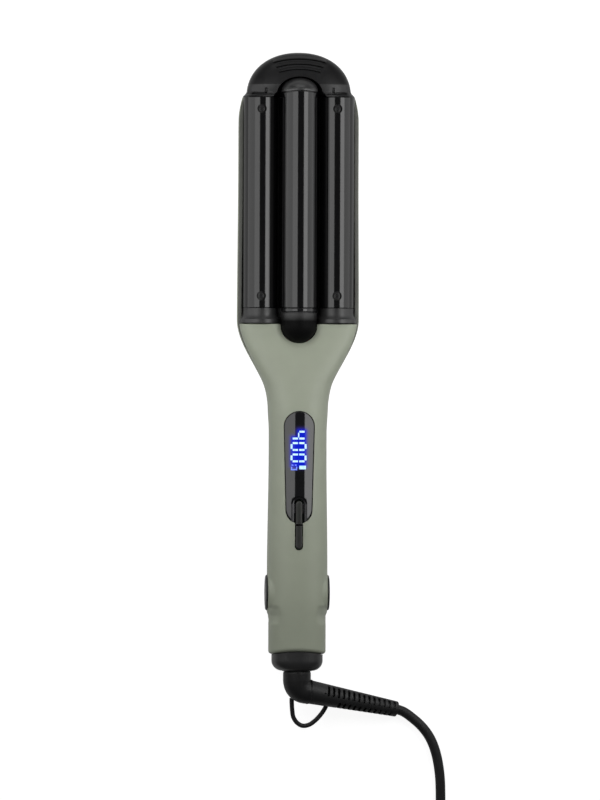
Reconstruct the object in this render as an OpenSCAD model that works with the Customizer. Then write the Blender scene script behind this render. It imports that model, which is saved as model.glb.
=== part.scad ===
// Hair waver with two hinged arms, closed and lying on its back.
// The rear arm holds two barrels and the cool tip. The front arm holds the middle barrel,
// the display, the rocker key and the tail, where the cord swivels.
// The origin lies on the surface under it, below the hinge axis. +Y runs to the tip, +Z to the display.

/* [Arms] */
// Height of each arm at the grip
arm_h = 15; // [13:0.5:20]
// Width of the grip
grip_w = 30.4; // [28:0.2:36]
// Width at the hinge
hinge_w = 31.8; // [30:0.1:38]
// Width at the head
head_w = 64.4; // [60:0.2:76]
// Hinge axis to the front edge of the front shell
shell_reach = 141.8; // [130:0.5:170]
// Hinge axis to where the handle starts to flare
flare_y = 98; // [94:0.5:104]
// Height of the front shell's crown at its front edge, above the parting plane
head_crown = 8; // [6:0.5:11]
// How far the rear shell's rim stands out beside the front shell at the head
rim_show = 1; // [0:0.1:1.6]
// Wall of the shells
wall = 2.2; // [1.6:0.1:3]
// Gap between the two closed arms
arm_gap = 0.6; // [0.4:0.1:1.5]
// Thickness of the inner covers
cover_t = 1.5; // [1:0.1:2]
// Angle by which the arms open
open_angle = 14; // [8:1:18]

/* [Barrels] */
// Diameter of the side barrels
barrel_d = 19; // [17:0.1:19.2]
// Diameter of the middle barrel
centre_d = 19.3; // [17:0.1:19.8]
// Wall of the barrels
barrel_wall = 1.6; // [1:0.1:2.5]
// Length of the side barrels
barrel_len = 111.5; // [90:0.5:140]
// Length of the middle barrel
centre_len = 114; // [92:0.5:142]
// Distance between neighbouring barrel axes, across
barrel_pitch = 20; // [19.6:0.1:21]
// Height of the middle barrel's axis above the side ones
barrel_rise = 7; // [6.5:0.1:9]
// Distance of the barrel screws from the barrel's ends
screw_in = 6.4; // [5:0.1:9]
// Diameter of the barrel screws' heads
screw_head_d = 4.6; // [3.5:0.1:5.5]

/* [Head] */
// Length of the bracket behind the barrels
bracket_len = 8; // [6:0.5:12]
// Length of the cool tip
tip_len = 23.3; // [18:0.1:34]
// Width of the cool tip
tip_w = 55.2; // [52:0.2:60]
// Height of the cool tip
tip_h = 24; // [22:0.5:26]
// Height of the domed end of the middle barrel
dome_h = 7.5; // [5:0.5:9]
// Number of grip arcs on the cool tip
grip_arcs = 3; // [1:1:3]

/* [Display and key] */
// Length of the display window
lens_len = 58.9; // [50:0.5:64]
// Width of the window at its upper end
lens_w = 16; // [13:0.5:18]
// Width of the window at its lower end
lens_low_w = 13.8; // [12:0.2:16]
// Hinge axis to the lower end of the window
lens_y = 36.8; // [34:0.2:40]
// Length of the rocker key
key_len = 25.8; // [22:0.2:30]
// Width of the rocker key
key_w = 3.7; // [3.5:0.1:6]
// Hinge axis to the middle of the rocker key
key_y = 35.8; // [33:0.2:40]
// Height of the numerals
digit_h = 8.4; // [6:0.1:9]
// Pitch of the numerals
digit_pitch = 6; // [5:0.1:7]

/* [Hinge and tail] */
// Diameter of the hinge caps
cap_d = 18.7; // [16:0.1:22]
// Thickness of the hinge caps
cap_t = 1.4; // [1.2:0.1:3]
// Diameter of the hinge pin
pin_d = 4; // [3:0.1:5]
// Width of the tail
tail_w = 30.2; // [28:0.1:34]
// Hinge axis to the middle of the tail's end
tail_reach = 31.1; // [28:0.1:40]
// Length of the tail cap
tail_cap_len = 10; // [7:0.5:14]
// Width of the tail cap
tail_cap_w = 27; // [22:0.5:28]
// Diameter of the swivel neck
neck_d = 14.7; // [11:0.1:15]
// Tail cap to the elbow's centre
elbow_drop = 9.6; // [8:0.1:14]
// Diameter of the strain relief at its root
relief_d = 12.6; // [10:0.1:13]
// Diameter of the strain relief at its end
relief_end_d = 8.2; // [6.4:0.1:8.4]
// Pitch of the slots in the strain relief
slot_pitch = 2.65; // [2.4:0.05:3.2]
// Thickness of the hanging loop
loop_d = 2.2; // [1.8:0.1:3.2]

/* [Cord] */
// Diameter of the cord
cord_d = 5.2; // [4.6:0.1:5.6]
// Turns of the put-away cord
coil_turns = 9.25; // [5.25:1:9.25]
// Radius at the middle of the coil's turns
coil_r = 28; // [27:0.5:31]
// Radial pitch of the coil's turns
coil_pitch = 6.4; // [6.3:0.05:7]
// Height between the coil's layers
coil_rise = 6.1; // [6:0.05:7]

/* [Hidden] */

BLACK = [0.05, 0.05, 0.05];
GLOSS = [0.02, 0.02, 0.02];
GREEN = [0.47, 0.5, 0.42];
STEEL = [0.7, 0.7, 0.72];
ARC = 16;            // steps around half a shell
FIT = 0.1;           // clearance of pieces of one body that seat in each other
RUN = 0.06;          // radial clearance of a running fit
CLEAR = 0.3;         // clearance between pieces of different bodies

// The hinge axis and the parting plane share one height.
part_z = arm_h;
rear_top = part_z - arm_gap / 2;
front_z = part_z + arm_gap / 2;
crown_z = 2 * arm_h;
grip_y = flare_y - 23.2;
flare_end = shell_reach + 2.2;

// Barrels
liner_z = wall + 1;
liner_t = 1.5;
side_z = liner_z + liner_t + CLEAR + barrel_d / 2;
centre_z = side_z + barrel_rise;
bracket_y = shell_reach + CLEAR;
barrel_y = bracket_y + bracket_len + FIT;
barrel_end = barrel_y + barrel_len;
tip_y = barrel_end + FIT;
tray_end = tip_y - FIT;
centre_end = barrel_y + centre_len;
barrel_in_r = barrel_d / 2 - barrel_wall;
centre_in_r = centre_d / 2 - barrel_wall;
peg_len = screw_in + 5;
plug_in = 8;          // depth of the plugs in the middle barrel
heater_gap = 2;       // from a heater to the plugs on both sides

// Hinge
heel_r = arm_h + 0.4;
ear_in = hinge_w / 2 - 3.6;
ear_out = hinge_w / 2;
lug_t = 3;
lug_out = ear_in - CLEAR;
lug_r = pin_d / 2 + 3;
heel_floor = part_z - lug_r - 1.2;
heel_slot = lug_r + 1.2;

// Tail
tail_z = part_z + 2;
tail_h = crown_z - 1 - tail_z;
tail_arc = 66;
cap_y = -tail_reach - FIT;
tail_end = cap_y - tail_cap_len;
elbow_y = tail_end - CLEAR - elbow_drop;
cap_straight = 4.6;
ring_r = neck_d / 2 - 2.7;

// Cord: the route's points are chosen by hand
relief_from = [0, elbow_y, tail_z];
cord_r = cord_d / 2;
exit_pt = [53.7, -61.7, 4.3];
lead_pts = [
  [53.7, -61.7, 4.3], [57.8, -63.3, 3.2], [62.3, -66.5, 2.7], [66.5, -70.2, 2.7],
  [70, -74.4, 2.7], [72.7, -79.2, 2.7], [74.7, -84.8, 2.7], [76.1, -91.2, 2.7],
  [77, -98.5, 2.7], [77.3, -106.5, 2.7], [77.3, -115, 2.7], [77, -124, 2.8],
  [76.8, -133, 3.2], [76.7, -141, 3.8], [76.7, -149.8, 3.8]
];
// Steps of the last stretch, from the coil's end down to the plug
tail_steps = [
  [0, 0, 0], [-7, 0, 0], [-14, -0.3, -1.2], [-20.5, -0.8, -3.4],
  [-27, -1.2, -6.4], [-33.5, -1.5, -9.8], [-40, -1.7, -12.8],
  [-45, -1.8, -14.7], [-50, -1.8, -15.2], [-54, -1.8, -15.2]
];
plug_len = 35;
plug_w = 26;
plug_h = 13.8;
plug_pin_d = 4;
plug_pin_len = 19;
plug_pin_pitch = 18.6;

// ---------- functions ----------

function smooth(t) = t <= 0 ? 0 : t >= 1 ? 1 : t * t * (3 - 2 * t);
function power(v, p) = sign(v) * pow(abs(v), p);

// Half width of an arm at distance y from the hinge axis.
function half_w(y) = lead_in(y) + (
  y > flare_y ? grip_w / 2 + (head_w - grip_w) / 2 * smooth((y - flare_y) / (flare_end - flare_y))
  : y > 11 ? grip_w / 2 + (hinge_w - grip_w) / 2 * smooth((grip_y - y) / (grip_y - 11))
  : tail_w / 2 + (hinge_w - tail_w) / 2 * smooth((y + 14) / 5));

// The grip starts to widen a little before the flare.
function lead_in(y) = 0.7 * smooth((y - flare_y + 14) / 16) * (1 - smooth((y - flare_y - 3) / 11));

// The front shell grows narrower than the rear one towards the head.
function front_half(y) = half_w(y) - rim_show * smooth((y - flare_y) / (flare_end - flare_y));

// The rear tray grows a little narrower along the head, and its rim draws in towards the cool tip.
tray_taper = 0.4;
tray_draw = 14;
function tray_half(y) = half_w(y) - tray_taper * smooth((y - flare_end) / 80)
  - 2.2 * pow(max(0, (y - tray_end + tray_draw) / tray_draw), 2);

// How flat an arm's section is: 2 is an ellipse, and more is squarer.
function squareness(y) = 2.6 + 1.5 * smooth((y - flare_y) / (flare_end - flare_y));

function crown(y) = y < 0 ? crown_z - 1 * smooth(-y / tail_reach)
  : crown_z - (crown_z - front_z - head_crown) * smooth((y - flare_y + 6) / (shell_reach - flare_y + 6));

// A half ring in the plane of a station: from +x over to -x, up by h from base z.
function arch(y, w, z, h, p, top) = [
  for (i = [0 : ARC])
    let (a = 180 * i / ARC)
    [w * power(cos(a), 2 / p), y, h > 0 ? min(top, z + h * power(sin(a), 2 / p)) : max(top, z + h * power(sin(a), 2 / p))]
];

// A whole ring round a centre line.
function ring(y, w, z, h, p, n) = [
  for (i = [0 : n - 1])
    let (a = 360 * i / n)
    [w * power(cos(a), 2 / p), y, z + h * power(sin(a), 2 / p)]
];

// Faces of a skin through rings of n points, with flat ends.
function skin_faces(rings, n, flip) = let (
  sides = [
    for (k = [0 : rings - 2], i = [0 : n - 1])
      let (a = k * n + i, b = k * n + (i + 1) % n)
      each [[a, b, a + n], [b, b + n, a + n]]
  ],
  ends = [
    for (i = [1 : n - 2])
      each [[0, i + 1, i], [(rings - 1) * n, (rings - 1) * n + i, (rings - 1) * n + i + 1]]
  ]
) flip ? [for (f = concat(sides, ends)) [f[2], f[1], f[0]]] : concat(sides, ends);

module skin(ring_list, flip = false) {
  n = len(ring_list[0]);
  polyhedron([for (r = ring_list) each r], skin_faces(len(ring_list), n, flip), convexity = 6);
}

// A tube of radius r along points, whose rings turn about the vector up.
function unit(v) = v / norm(v);
function tube_ring(p, t, up, r, n) = let (s = unit(cross(t, up)), u = cross(s, t)) [
  for (j = [0 : n - 1]) p + r * (cos(360 * j / n) * s + sin(360 * j / n) * u)
];
function heading(path, k) = unit(path[min(k + 1, len(path) - 1)] - path[max(k - 1, 0)]);

module tube(path, r, n, up = [0, 0, 1]) {
  skin([for (k = [0 : len(path) - 1]) tube_ring(path[k], heading(path, k), up, r, n)]);
}

// ---------- rear arm ----------

function heel_z(y) = y < 0 ? max(0, part_z - sqrt(max(0, heel_r * heel_r - y * y))) : 0;
function rear_rim(y) = y < 0 ? rear_top + y * tan(open_angle + 6) : rear_top;

function rear_ring(y, inset) = let (z = rear_rim(y), b = heel_z(y) + inset, p = squareness(y))
  arch(y, tray_half(y) - inset, z, b - z - 0.35, p, b);

heel_end = -heel_r + 1.3;
rear_stations = concat(
  [heel_end, -12.5, -10, -7, -3.4, 0, 5],
  [11, 24, 40, 57, grip_y],
  [for (step = [-14, -10, -6, -3, 0]) flare_y + step],
  [for (k = [1 : 9]) flare_y + (flare_end - flare_y) * k / 9],
  [for (step = [80, 50, 30, tray_draw, 10, 7, 4.5, 2, 0]) tray_end - step]
);

module rear_cavity() {
  inner = [for (y = rear_stations) if (y >= 11) rear_ring(y, wall)];
  lifted = [for (r = inner) concat(
    [[r[0][0], r[0][1], part_z + 1]], r, [[r[ARC][0], r[ARC][1], part_z + 1]])];
  last = lifted[len(lifted) - 1];
  skin(concat(lifted, [[for (q = last) [q[0], q[1] + 1, q[2]]]]), true);
}

module both_sides() {
  children();
  mirror([1, 0, 0]) children();
}

// A round along X between two distances from the middle, about the hinge axis.
module across(r, x0, x1) {
  translate([x0, 0, part_z]) rotate([0, 90, 0]) cylinder(r = r, h = x1 - x0, $fn = 64);
}

module rear_shell() {
  color(GREEN) difference() {
    union() {
      skin([for (y = rear_stations) rear_ring(y, 0)], true);
      // Lugs that hold the hinge pin
      both_sides() across(lug_r, lug_out - lug_t, lug_out);
    }
    rear_cavity();
    translate([-lug_out + lug_t, -heel_slot, heel_floor]) cube([2 * (lug_out - lug_t), heel_slot + 12, arm_h]);
    both_sides() across(cap_d / 2 + CLEAR, lug_out, hinge_w);
    both_sides() along(barrel_pitch, barrel_y - 1, side_z, barrel_d / 2 + 0.2, barrel_len + 2);
    across(pin_d / 2 + FIT / 5, -hinge_w, hinge_w);
    rear_screw_holes();
  }
}

rear_screw_pts = [30, 60, 92];
module rear_screw_holes() {
  for (y = rear_screw_pts)
    translate([0, y, -1]) cylinder(r = 1.3, h = wall + 2, $fn = 24);
}

// Covers follow the inside of both shells' rims.
function cover_outline(y0, y1, steps) = concat(
  [for (k = [0 : steps]) let (y = y0 + (y1 - y0) * k / steps) [front_half(y) - wall - 0.35, y]],
  [for (k = [0 : steps]) let (y = y1 - (y1 - y0) * k / steps) [-front_half(y) + wall + 0.35, y]]
);
cover_y = 12.6;

module rear_cover() {
  color(BLACK) difference() {
    union() {
      translate([0, 0, rear_top - cover_t])
        linear_extrude(cover_t) polygon(cover_outline(cover_y, bracket_y - FIT, 24));
      for (y = rear_screw_pts)
        translate([0, y, wall + FIT]) cylinder(r = 3, h = rear_top - wall - FIT - cover_t / 2, $fn = 32);
    }
    for (y = rear_screw_pts)
      translate([0, y, 0]) cylinder(r = 1.1, h = 9, $fn = 24);
    // Room under the middle barrel's neck
    translate([0, shell_reach - 12, centre_z])
      rotate([-90, 0, 0]) cylinder(r = centre_d / 2 + 1, h = 20, $fn = 64);
  }
}

module rear_cover_screws() {
  color(STEEL) for (y = rear_screw_pts) {
    translate([0, y, 0.3]) cylinder(r = 1.0, h = 7.5, $fn = 24);
    translate([0, y, 0.3]) cylinder(r = 1.2, h = 1.6, $fn = 24);
  }
}

module rear_liner() {
  ridge = barrel_pitch - barrel_d / 2 - 1;
  color(BLACK) translate([0, barrel_y, 0]) rotate([90, 0, 180]) {
    linear_extrude(barrel_len) polygon([
      [-barrel_pitch, liner_z], [barrel_pitch, liner_z], [barrel_pitch, liner_z + liner_t],
      [ridge * 0.8, liner_z + liner_t], [ridge * 0.35, liner_z + liner_t + 3],
      [-ridge * 0.35, liner_z + liner_t + 3], [-ridge * 0.8, liner_z + liner_t],
      [-barrel_pitch, liner_z + liner_t]
    ]);
  }
}

module along(x, y, z, r, l) {
  translate([x, y, z]) rotate([-90, 0, 0]) cylinder(r = r, h = l, $fn = 64);
}

module barrel_pegs(y0) {
  both_sides() difference() {
    along(barrel_pitch, y0, side_z, barrel_in_r - FIT, peg_len);
    translate([0, y0 + peg_len / 2, 0]) children();
  }
}

module screw_bore(y, r) {
  both_sides() translate([barrel_pitch, y, side_z]) cylinder(r = r, h = barrel_d, $fn = 32);
}

module rear_bracket() {
  w = head_w / 2 - wall - 1;
  color(GLOSS) difference() {
    union() {
      translate([0, bracket_y, 0]) rotate([90, 0, 180]) linear_extrude(bracket_len) polygon([
        [-w + 8, liner_z], [w - 8, liner_z], [w - 0.6, liner_z + 5], [w - 0.6, side_z],
        [w - 4, side_z + 6], [w - 9, side_z + barrel_d / 2 - 1], [-w + 9, side_z + barrel_d / 2 - 1],
        [-w + 4, side_z + 6], [-w + 0.6, side_z], [-w + 0.6, liner_z + 5]
      ]);
      both_sides() along(barrel_pitch, bracket_y + 1, side_z, barrel_in_r - FIT, bracket_len - 1 + peg_len);
    }
    along(0, bracket_y - 1, centre_z, centre_d / 2 + 1, bracket_len + 2);
    screw_bore(barrel_y + screw_in, 1.25);
  }
}

module side_barrel(x) {
  difference() {
    along(x, barrel_y, side_z, barrel_d / 2, barrel_len);
    along(x, barrel_y - 1, side_z, barrel_in_r, barrel_len + 2);
    for (y = [barrel_y + screw_in, barrel_end - screw_in])
      translate([x, y, side_z]) cylinder(r = screw_head_d / 2 + 0.15, h = barrel_d, $fn = 32);
  }
}
module left_barrel() { color(GLOSS) side_barrel(-barrel_pitch); }
module right_barrel() { color(GLOSS) side_barrel(barrel_pitch); }

// A flat heater that fills most of a barrel's bore between two plugs of depth deep.
module heater(x, z, r, end, deep) {
  from = barrel_y + deep + heater_gap;
  w = 2 * r * 0.84;
  h = 2 * (sqrt(r * r - w * w / 4) - 0.15);
  color("white") translate([x - w / 2, from, z - h / 2])
    cube([w, end - deep - heater_gap - from, h]);
}
module left_heater() { heater(-barrel_pitch, side_z, barrel_in_r, barrel_end, peg_len); }
module right_heater() { heater(barrel_pitch, side_z, barrel_in_r, barrel_end, peg_len); }

module barrel_screws() {
  top = side_z + barrel_in_r - FIT;
  color(BLACK) both_sides() for (y = [barrel_y + screw_in, barrel_end - screw_in])
    translate([barrel_pitch, y, top]) difference() {
      union() {
        cylinder(r = screw_head_d / 2, h = barrel_wall - 0.2, $fn = 32);
        translate([0, 0, -5]) cylinder(r = 1.2, h = 5.5, $fn = 24);
      }
      for (a = [0, 90])
        rotate([0, 0, a]) translate([-1.3, -0.3, barrel_wall - 0.9]) cube([2.6, 0.6, 2]);
    }
}

// Cool tip: sections narrow to the end along a superellipse.
tip_p = 2.15;
tip_z = tip_h / 2;
function tip_ring(t) = let (
  y = tip_y + tip_len * t,
  s = pow(1 - pow(t, tip_p), 1 / tip_p),
  v = pow(1 - pow(t, 2.8), 1 / 2.8),
  shoulder = (head_w / 2 - 2.2 - tip_w / 2) * pow(max(0, 1 - t * tip_len / 2.6), 1.5)
) [for (q = ring(y, tip_w / 2 * s + shoulder, tip_z, tip_z * v + 0.3, 3, 40)) [q[0], q[1], max(0, q[2])]];
tip_stations = [0, 0.04, 0.08, 0.12, 0.3, 0.45, 0.6, 0.72, 0.82, 0.9, 0.96, 0.99, 0.999];

module dome_profile(r, l, h) {
  polygon(concat([[0, -l], [r, -l]], [for (a = [0 : 10 : 90]) [r * cos(a), h * sin(a)]]));
}
module round_end(y, r, l, h) {
  translate([0, y, centre_z]) rotate([-90, 0, 0]) rotate_extrude($fn = 64) dome_profile(r, l, h);
}

arc_r = 28;
module grip_groove(y_top, half_angle, z) {
  translate([0, y_top - arc_r, z]) rotate([0, 0, 90 - half_angle])
    rotate_extrude(angle = 2 * half_angle, $fn = 96) translate([arc_r - 0.9, 0]) square([0.9, 12]);
}

module cool_tip() {
  color(BLACK) difference() {
    union() {
      skin([for (t = tip_stations) tip_ring(t)]);
      both_sides() along(barrel_pitch, tip_y + 1 - peg_len - 1, side_z, barrel_in_r - FIT, peg_len + 1);
    }
    round_end(centre_end - 0.4, centre_d / 2 + 2.4, 30, dome_h + 1.2);
    for (k = [0 : grip_arcs - 1])
      grip_groove(tip_y + tip_len - [1.4, 5.6, 8.6][k], [29, 26, 23][k], tip_h - [6.6, 2.9, 1.9][k]);
    both_sides() translate([17.4, tip_y + 1.4, tip_h - 2.2]) cube([8.2, 1, 4]);
    both_sides() translate([17.4, tip_y + 1.4, tip_h - 1.4]) cube([1, 3, 4]);
    screw_bore(barrel_end - screw_in, 1.25);
  }
}

module rear_leads() {
  color("red") for (x = [-6, 6])
    along(x, 16, wall + 1.9, 1.1, bracket_y - 16 - FIT);
}

module hinge_pin() {
  color(STEEL) across(pin_d / 2, FIT - ear_out, ear_out - FIT);
}
module hinge_cap() {
  translate([ear_out + FIT / 2, 0, part_z]) rotate([0, 90, 0])
    rotate_extrude($fn = 64) polygon([
      [0, 0], [cap_d / 2, 0], [cap_d / 2, cap_t - 0.7], [cap_d / 2 - 0.7, cap_t], [0, cap_t]
    ]);
}
module left_hinge_cap() { color(BLACK) mirror([1, 0, 0]) hinge_cap(); }
module right_hinge_cap() { color(BLACK) hinge_cap(); }

// Torsion spring round the pin: a helix with a leg at each end.
spring_r = pin_d / 2 + 1.6;
wire_r = 0.6;
spring_turns = 5.25;
spring_steps = 84;
spring_path = concat(
  [[-4.4, heel_slot + 4, part_z - spring_r], [-4.4, 3, part_z - spring_r]],
  [for (k = [0 : spring_steps])
    let (f = k / spring_steps, a = -90 - 360 * spring_turns * f)
    [-4.4 + 8.8 * f, spring_r * cos(a), part_z + spring_r * sin(a)]],
  [[4.4, -spring_r - 0.4, part_z + 1.6]]
);
module hinge_spring() {
  color(STEEL) tube(spring_path, wire_r, 6, [1, 0, 0]);
}

// ---------- front arm ----------

function front_ring(y, inset) = arch(y, front_half(y) - inset, front_z, crown(y) - inset - front_z, squareness(y), 200);
front_stations = concat(
  [-tail_reach - 2.4, -22, -14, -12.5, -11, -9, 0],
  [11, 24, 40, 57, grip_y, flare_y - 6],
  [for (k = [0 : 8]) flare_y + (flare_end - flare_y) * k / 9],
  [shell_reach]
);

module front_cavity() {
  inner = [for (y = front_stations) if (y < shell_reach - wall) front_ring(y, wall)];
  mouth = front_ring(shell_reach - wall, wall);
  lifted = [for (r = concat(inner, [mouth])) concat(
    [[r[0][0], r[0][1], part_z - 1]], r, [[r[ARC][0], r[ARC][1], part_z - 1]])];
  skin(lifted);
}

module lens_outline(extra) {
  r1 = lens_w / 2 + extra;
  r0 = lens_low_w / 2 + extra;
  hull() {
    translate([0, lens_y + lens_low_w / 2]) circle(r = r0, $fn = 48);
    translate([0, lens_y + lens_len - lens_w / 2]) circle(r = r1, $fn = 48);
  }
}

module pill(w, l, y, z0, z1) {
  translate([0, y, z0]) linear_extrude(z1 - z0) hull() {
    translate([0, (l - w) / 2]) circle(d = w, $fn = 32);
    translate([0, (w - l) / 2]) circle(d = w, $fn = 32);
  }
}

// The slot round the key, wider by extra on all sides
module key_slot(extra, z0) {
  grow = 2 * (key_gap + extra);
  pill(key_w + grow, key_len + grow + 0.2, key_y, z0, crown_z + 4);
}

neck_y = shell_reach - 0.5;
module neck_shape(extra) {
  round_r = centre_d / 2 + extra;
  along(0, neck_y, centre_z, round_r, barrel_y - neck_y);
  translate([0, neck_y, centre_z]) sphere(r = round_r, $fn = 64);
}

module front_shell() {
  color(GREEN) difference() {
    union() {
      difference() {
        skin([for (y = front_stations) front_ring(y, 0)]);
        front_cavity();
      }
      // Round cheeks that turn on the hinge pin
      both_sides() across(cap_d / 2, ear_in, ear_out);
    }
    across(pin_d / 2 + RUN, -hinge_w, hinge_w);
    translate([0, 0, crown_z - 8]) linear_extrude(20) lens_outline(0.25);
    key_slot(0, crown_z - 8);
    neck_shape(0.15);
    translate([0, -tail_reach - tail_arc, 0]) cylinder(r = tail_arc, h = 60, $fn = 96);
  }
}

front_screw_pts = [18, 112];
module front_cover() {
  color(BLACK) difference() {
    union() {
      translate([0, 0, front_z])
        linear_extrude(cover_t) polygon(cover_outline(cover_y - 4, shell_reach - 11, 24));
      for (y = front_screw_pts)
        translate([0, y, front_z]) cylinder(r = 3, h = crown(y) - wall - front_z - 1, $fn = 32);
    }
    for (y = front_screw_pts)
      translate([0, y, front_z - 1]) cylinder(r = 1.1, h = 7, $fn = 24);
    for (y = front_screw_pts)
      translate([0, y, front_z - 1]) cylinder(r = 2.4, h = 2, $fn = 24);
    both_sides() across(cap_d / 2 + FIT, lug_out, hinge_w);
  }
}

module front_cover_screws() {
  color(STEEL) for (y = front_screw_pts) {
    translate([0, y, front_z + 1.1]) cylinder(r = 1.0, h = 4.6, $fn = 24);
    translate([0, y, front_z + 0.1]) cylinder(r = 2.2, h = 0.9, $fn = 24);
  }
}

module barrel_neck() {
  color(BLACK) difference() {
    union() {
      neck_shape(0);
      along(0, neck_y, centre_z, centre_in_r - FIT, barrel_y - neck_y + plug_in);
    }
    translate([-40, neck_y - 20, -10]) cube([80, 20.8, front_z + FIT + 10]);
    along(0, neck_y - 5, centre_z, 3, 40);
  }
}

module centre_barrel() {
  color(GLOSS) difference() {
    along(0, barrel_y + FIT, centre_z, centre_d / 2, centre_len - FIT);
    along(0, barrel_y - 1, centre_z, centre_in_r, centre_len + 4);
  }
}

module centre_cap() {
  color(BLACK) {
    round_end(centre_end + 0.05, centre_d / 2, 0.01, dome_h);
    along(0, centre_end - plug_in, centre_z, centre_in_r - FIT, plug_in + 1);
  }
}

module centre_heater() { heater(0, centre_z, centre_in_r, centre_end, plug_in); }

// The window's face is round along its middle and straight towards its sides.
lens_r = 12.8;
lens_lean = 15.5;
lens_top = crown_z + 0.6;
lens_knee = lens_r * sin(lens_lean);
function lens_side(x) = lens_top - lens_r * (1 - cos(lens_lean)) - (x - lens_knee) * tan(lens_lean);
module lens_block() {
  reach = lens_w / 2 + 4;
  translate([0, lens_y + lens_len + 10, 0]) rotate([90, 0, 0]) linear_extrude(lens_len + 20) polygon(concat(
    [[-reach, lens_side(reach)], [-reach, crown_z - 10], [reach, crown_z - 10], [reach, lens_side(reach)]],
    [for (k = [12 : -1 : -12]) let (a = lens_lean * k / 12)
      [lens_r * sin(a), lens_top - lens_r * (1 - cos(a))]]
  ));
}
// The window is lower round the key.
key_gap = 0.3;
ledge_w = 2.15;
ledge_deep = 0.7;
module display_lens() {
  color(GLOSS) difference() {
    intersection() {
      translate([0, 0, crown_z - 3]) linear_extrude(8) lens_outline(0);
      lens_block();
    }
    difference() {
      key_slot(ledge_w, crown_z - 3);
      translate([0, 0, -ledge_deep]) lens_block();
    }
    key_slot(0, crown_z - 8);
    display_pocket();
    translate([0, 0, crown_z - 4]) linear_extrude(8) numeral_outline(0.03);
  }
}

digit_y = lens_y + lens_len - 18.5;
module display_pocket() {
  translate([-5.5, digit_y - 16, crown_z - 4]) cube([11, 28, 2.2]);
}

board_z = front_z + 5.2;
board_t = 1.6;
module display_module() {
  color(GLOSS) translate([-5.3, digit_y - 15.8, board_z + board_t])
    cube([10.6, 27.6, crown_z - 2.15 - board_z - board_t]);
}

// Seven bars of one numeral; u runs along its height and v along its width.
seg_w = 1.0;
SEGMENTS = [[1, 1, 1, 1, 1, 1, 0], [0, 1, 1, 0, 0, 1, 1]];
module bar(u, v, lu, lv) {
  translate([u - lu / 2, v - lv / 2]) square([lu, lv]);
}
module numeral(lit) {
  h = digit_h;
  w = 4.6;
  across_l = w - 2.1;
  half_l = h / 2 - seg_w - 0.45;
  half_u = 0.35 + half_l / 2;
  if (lit[0]) bar(h / 2 - seg_w / 2, 0, seg_w, across_l);
  if (lit[1]) bar(half_u, -w / 2 + seg_w / 2, half_l, seg_w);
  if (lit[2]) bar(-half_u, -w / 2 + seg_w / 2, half_l, seg_w);
  if (lit[3]) bar(-h / 2 + seg_w / 2, 0, seg_w, across_l);
  if (lit[4]) bar(-half_u, w / 2 - seg_w / 2, half_l, seg_w);
  if (lit[5]) bar(half_u, w / 2 - seg_w / 2, half_l, seg_w);
  if (lit[6]) bar(0, 0, seg_w - 0.4, across_l);
}
// The lit marks: three numerals and two small ones below them
module numeral_outline(extra) {
  translate([-0.4, digit_y]) offset(delta = extra) {
    for (k = [0 : 2])
      translate([0, digit_pitch * (1 - k)]) numeral(SEGMENTS[k == 0 ? 1 : 0]);
    translate([0.4, -2 * digit_pitch]) square([3.5, 1.9]);
    translate([-4, -2 * digit_pitch - 0.5]) difference() {
      square([3.3, 1.9]);
      translate([0.7, 0.7]) square([1.9, 2]);
    }
    for (x = [-3.7, -2]) translate([x, 1.9 - 2 * digit_pitch]) square([1, 0.6]);
  }
}
// Light guides from the module up to the window's face
module display_digits() {
  color("deepskyblue") intersection() {
    translate([0, 0, crown_z - 2.1]) linear_extrude(8) numeral_outline(0);
    lens_block();
  }
}

board_from = 16;
board_to = lens_y + lens_len - 6;
board_w = grip_w - 2 * wall - 6;
switch_gap = 8.6;
module circuit_board() {
  color("darkgreen") difference() {
    translate([-board_w / 2, board_from, board_z]) cube([board_w, board_to - board_from, board_t]);
    for (y = front_screw_pts)
      translate([0, y, board_z - 1]) cylinder(r = 3.2, h = 4, $fn = 32);
  }
  // Spacers between the board and the cover
  color("darkgreen") for (x = [-1, 1], y = [board_from + 12, board_to - 6])
    translate([x * (board_w / 2 - 1.1), y, front_z + cover_t])
      cylinder(r = 1.1, h = board_z - front_z - cover_t, $fn = 24);
}

switch_h = 3.4;
module key_switches() {
  color(STEEL) for (s = [-1, 1])
    translate([-2.5, key_y + s * switch_gap - 2.5, board_z + board_t]) {
      cube([5, 5, switch_h - 1]);
      translate([2.5, 2.5, 0]) cylinder(r = 1.4, h = switch_h, $fn = 24);
    }
}

key_top = crown_z + 1;
key_pivot = crown_z - 4.6;
key_pin_r = 0.8;
module key_pin() {
  color(STEEL) {
    translate([-key_w / 2 - 3.8, key_y, key_pivot]) rotate([0, 90, 0])
      cylinder(r = key_pin_r, h = key_w + 7.6, $fn = 32);
    for (s = [-1, 1])
      translate([s * (key_w / 2 + 2.4) - 1, key_y - 1.6, board_z + board_t])
        difference() {
          cube([2, 3.2, key_pivot - board_z - board_t + 1.6]);
          translate([-1, 1.6, key_pivot - board_z - board_t]) rotate([0, 90, 0])
            cylinder(r = key_pin_r - 0.01, h = 4, $fn = 32);
        }
  }
}

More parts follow.
